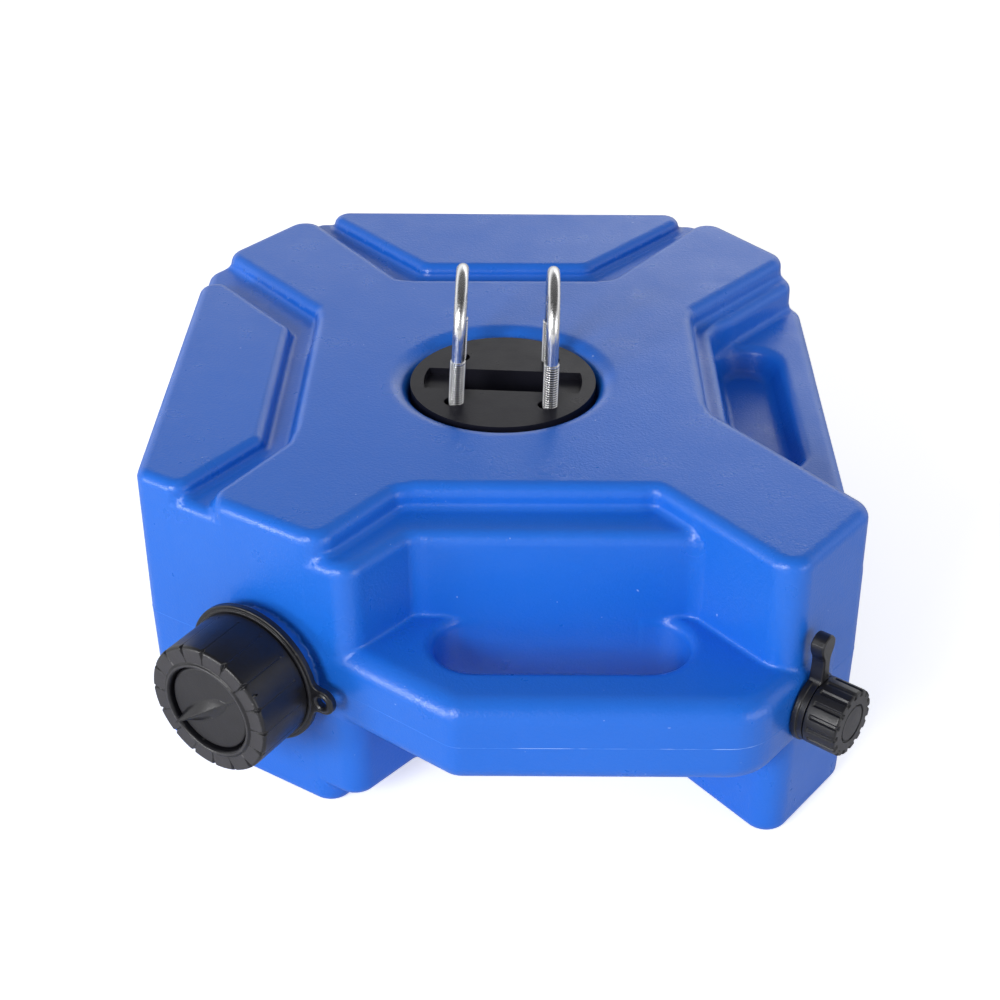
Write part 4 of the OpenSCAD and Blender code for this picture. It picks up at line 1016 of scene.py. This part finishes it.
def camera():
    """Camera at the photograph's place: focal length, place, azimuth, elevation and roll."""
    lens_mm, sensor_mm = 63.198, 36
    place = Vector((6.807 + hole[0], -602.889 + hole[1], 451.99)) * MM
    azimuth, elevation, roll = math.radians(-0.7728), math.radians(32.766), math.radians(0.2192)
    forward = Vector((math.sin(azimuth) * math.cos(elevation), math.cos(azimuth) * math.cos(elevation),
                      -math.sin(elevation)))
    right = Vector((math.cos(azimuth), -math.sin(azimuth), 0))
    down = forward.cross(right)
    across = right * math.cos(roll) + down * math.sin(roll)
    up = right * math.sin(roll) - down * math.cos(roll)
    data = bpy.data.cameras.new("camera")
    data.lens = lens_mm
    data.sensor_width = sensor_mm
    data.clip_start = 0.01
    obj = bpy.data.objects.new("camera", data)
    obj.matrix_world = Matrix.Translation(place) @ Matrix((across, up, -forward)).transposed().to_4x4()
    bpy.context.scene.collection.objects.link(obj)
    bpy.context.scene.camera = obj


def floor():
    """Pale floor that keeps the object's shadow; to the camera it is lifted to white."""
    size, lift = 6.0, 0.60
    mesh = bpy.data.meshes.new("floor")
    corners = [(-size, -size, 0), (size, -size, 0), (size, size, 0), (-size, size, 0)]
    mesh.from_pydata(corners, [], [(0, 1, 2, 3)])
    obj = bpy.data.objects.new("floor", mesh)
    bpy.context.scene.collection.objects.link(obj)
    material = bpy.data.materials.new("floor")
    material.use_nodes = True
    tree = material.node_tree
    shader = tree.nodes["Principled BSDF"]
    shader.inputs["Base Color"].default_value = (0.88, 0.88, 0.88, 1)
    shader.inputs["Roughness"].default_value = 1.0
    shader.inputs["Specular IOR Level"].default_value = 0.0
    shader.inputs["Emission Color"].default_value = (1, 1, 1, 1)
    rays = tree.nodes.new("ShaderNodeLightPath")
    gain = tree.nodes.new("ShaderNodeMath")
    gain.operation = "MULTIPLY"
    gain.inputs[1].default_value = lift
    tree.links.new(rays.outputs["Is Camera Ray"], gain.inputs[0])
    tree.links.new(gain.outputs["Value"], shader.inputs["Emission Strength"])
    obj.data.materials.append(material)


def studio():
    """Soft white room: a dim light, white to the camera, and in reflections bright low down at the back."""
    light, low_shine, high_shine, front_share = 0.42, 1.30, 0.18, 0.45
    low, high, front, back_start = 0.36, 0.64, -0.5, 0.4
    world = bpy.data.worlds.new("studio")
    bpy.context.scene.world = world
    world.use_nodes = True
    tree = world.node_tree
    back = tree.nodes["Background"]
    back.inputs["Color"].default_value = (1, 1, 1, 1)
    way = tree.nodes.new("ShaderNodeSeparateXYZ")
    tree.links.new(tree.nodes.new("ShaderNodeTexCoord").outputs["Generated"], way.inputs["Vector"])

    def share(output, *spans):
        node = tree.nodes.new("ShaderNodeMapRange")
        for name, value in zip(("From Min", "From Max", "To Min", "To Max"), spans):
            node.inputs[name].default_value = value
        tree.links.new(way.outputs[output], node.inputs["Value"])
        return node.outputs["Result"]

    shine = tree.nodes.new("ShaderNodeMath")
    shine.operation = "MULTIPLY"
    tree.links.new(share("Z", low, high, low_shine, high_shine), shine.inputs[0])
    tree.links.new(share("Y", front, back_start, front_share, 1.0), shine.inputs[1])
    rays = tree.nodes.new("ShaderNodeLightPath")
    glossy, seen = tree.nodes.new("ShaderNodeMix"), tree.nodes.new("ShaderNodeMix")
    glossy.inputs["A"].default_value = light
    seen.inputs["B"].default_value = 1.0
    tree.links.new(rays.outputs["Is Glossy Ray"], glossy.inputs["Factor"])
    tree.links.new(shine.outputs["Value"], glossy.inputs["B"])
    tree.links.new(rays.outputs["Is Camera Ray"], seen.inputs["Factor"])
    tree.links.new(glossy.outputs["Result"], seen.inputs["A"])
    tree.links.new(seen.outputs["Result"], back.inputs["Strength"])


def softbox(name, place, target, size, power):
    """A soft area light aimed at a point, in metres and watts."""
    data = bpy.data.lights.new(name, "AREA")
    data.shape = "RECTANGLE"
    data.size, data.size_y = size
    data.energy = power
    obj = bpy.data.objects.new(name, data)
    aim = Vector(target) - Vector(place)
    obj.matrix_world = Matrix.Translation(place) @ aim.to_track_quat("-Z", "Y").to_matrix().to_4x4()
    bpy.context.scene.collection.objects.link(obj)


camera()
shell()
necks()
parting_line()
filler_pieces()
vent_pieces()
for bolt in BOLT_LEAN:
    u_bolt(bolt)
dress_solids()
floor()
studio()
softbox("key", (-1.0, -1.6, 0.9), (0, 0, 0.05), (0.7, 0.6), 23.0)
softbox("left", (-1.85, -1.0, 0.35), (0, 0, 0.05), (0.5, 0.5), 14.0)
softbox("right", (1.6, -1.3, 0.4), (0, 0, 0.05), (1.2, 0.8), 8.0)
softbox("back", (0.8, 1.95, 1.1), (0, 0, 0.1), (1.5, 0.5), 3.0)
bpy.context.scene.view_settings.view_transform = "Standard"
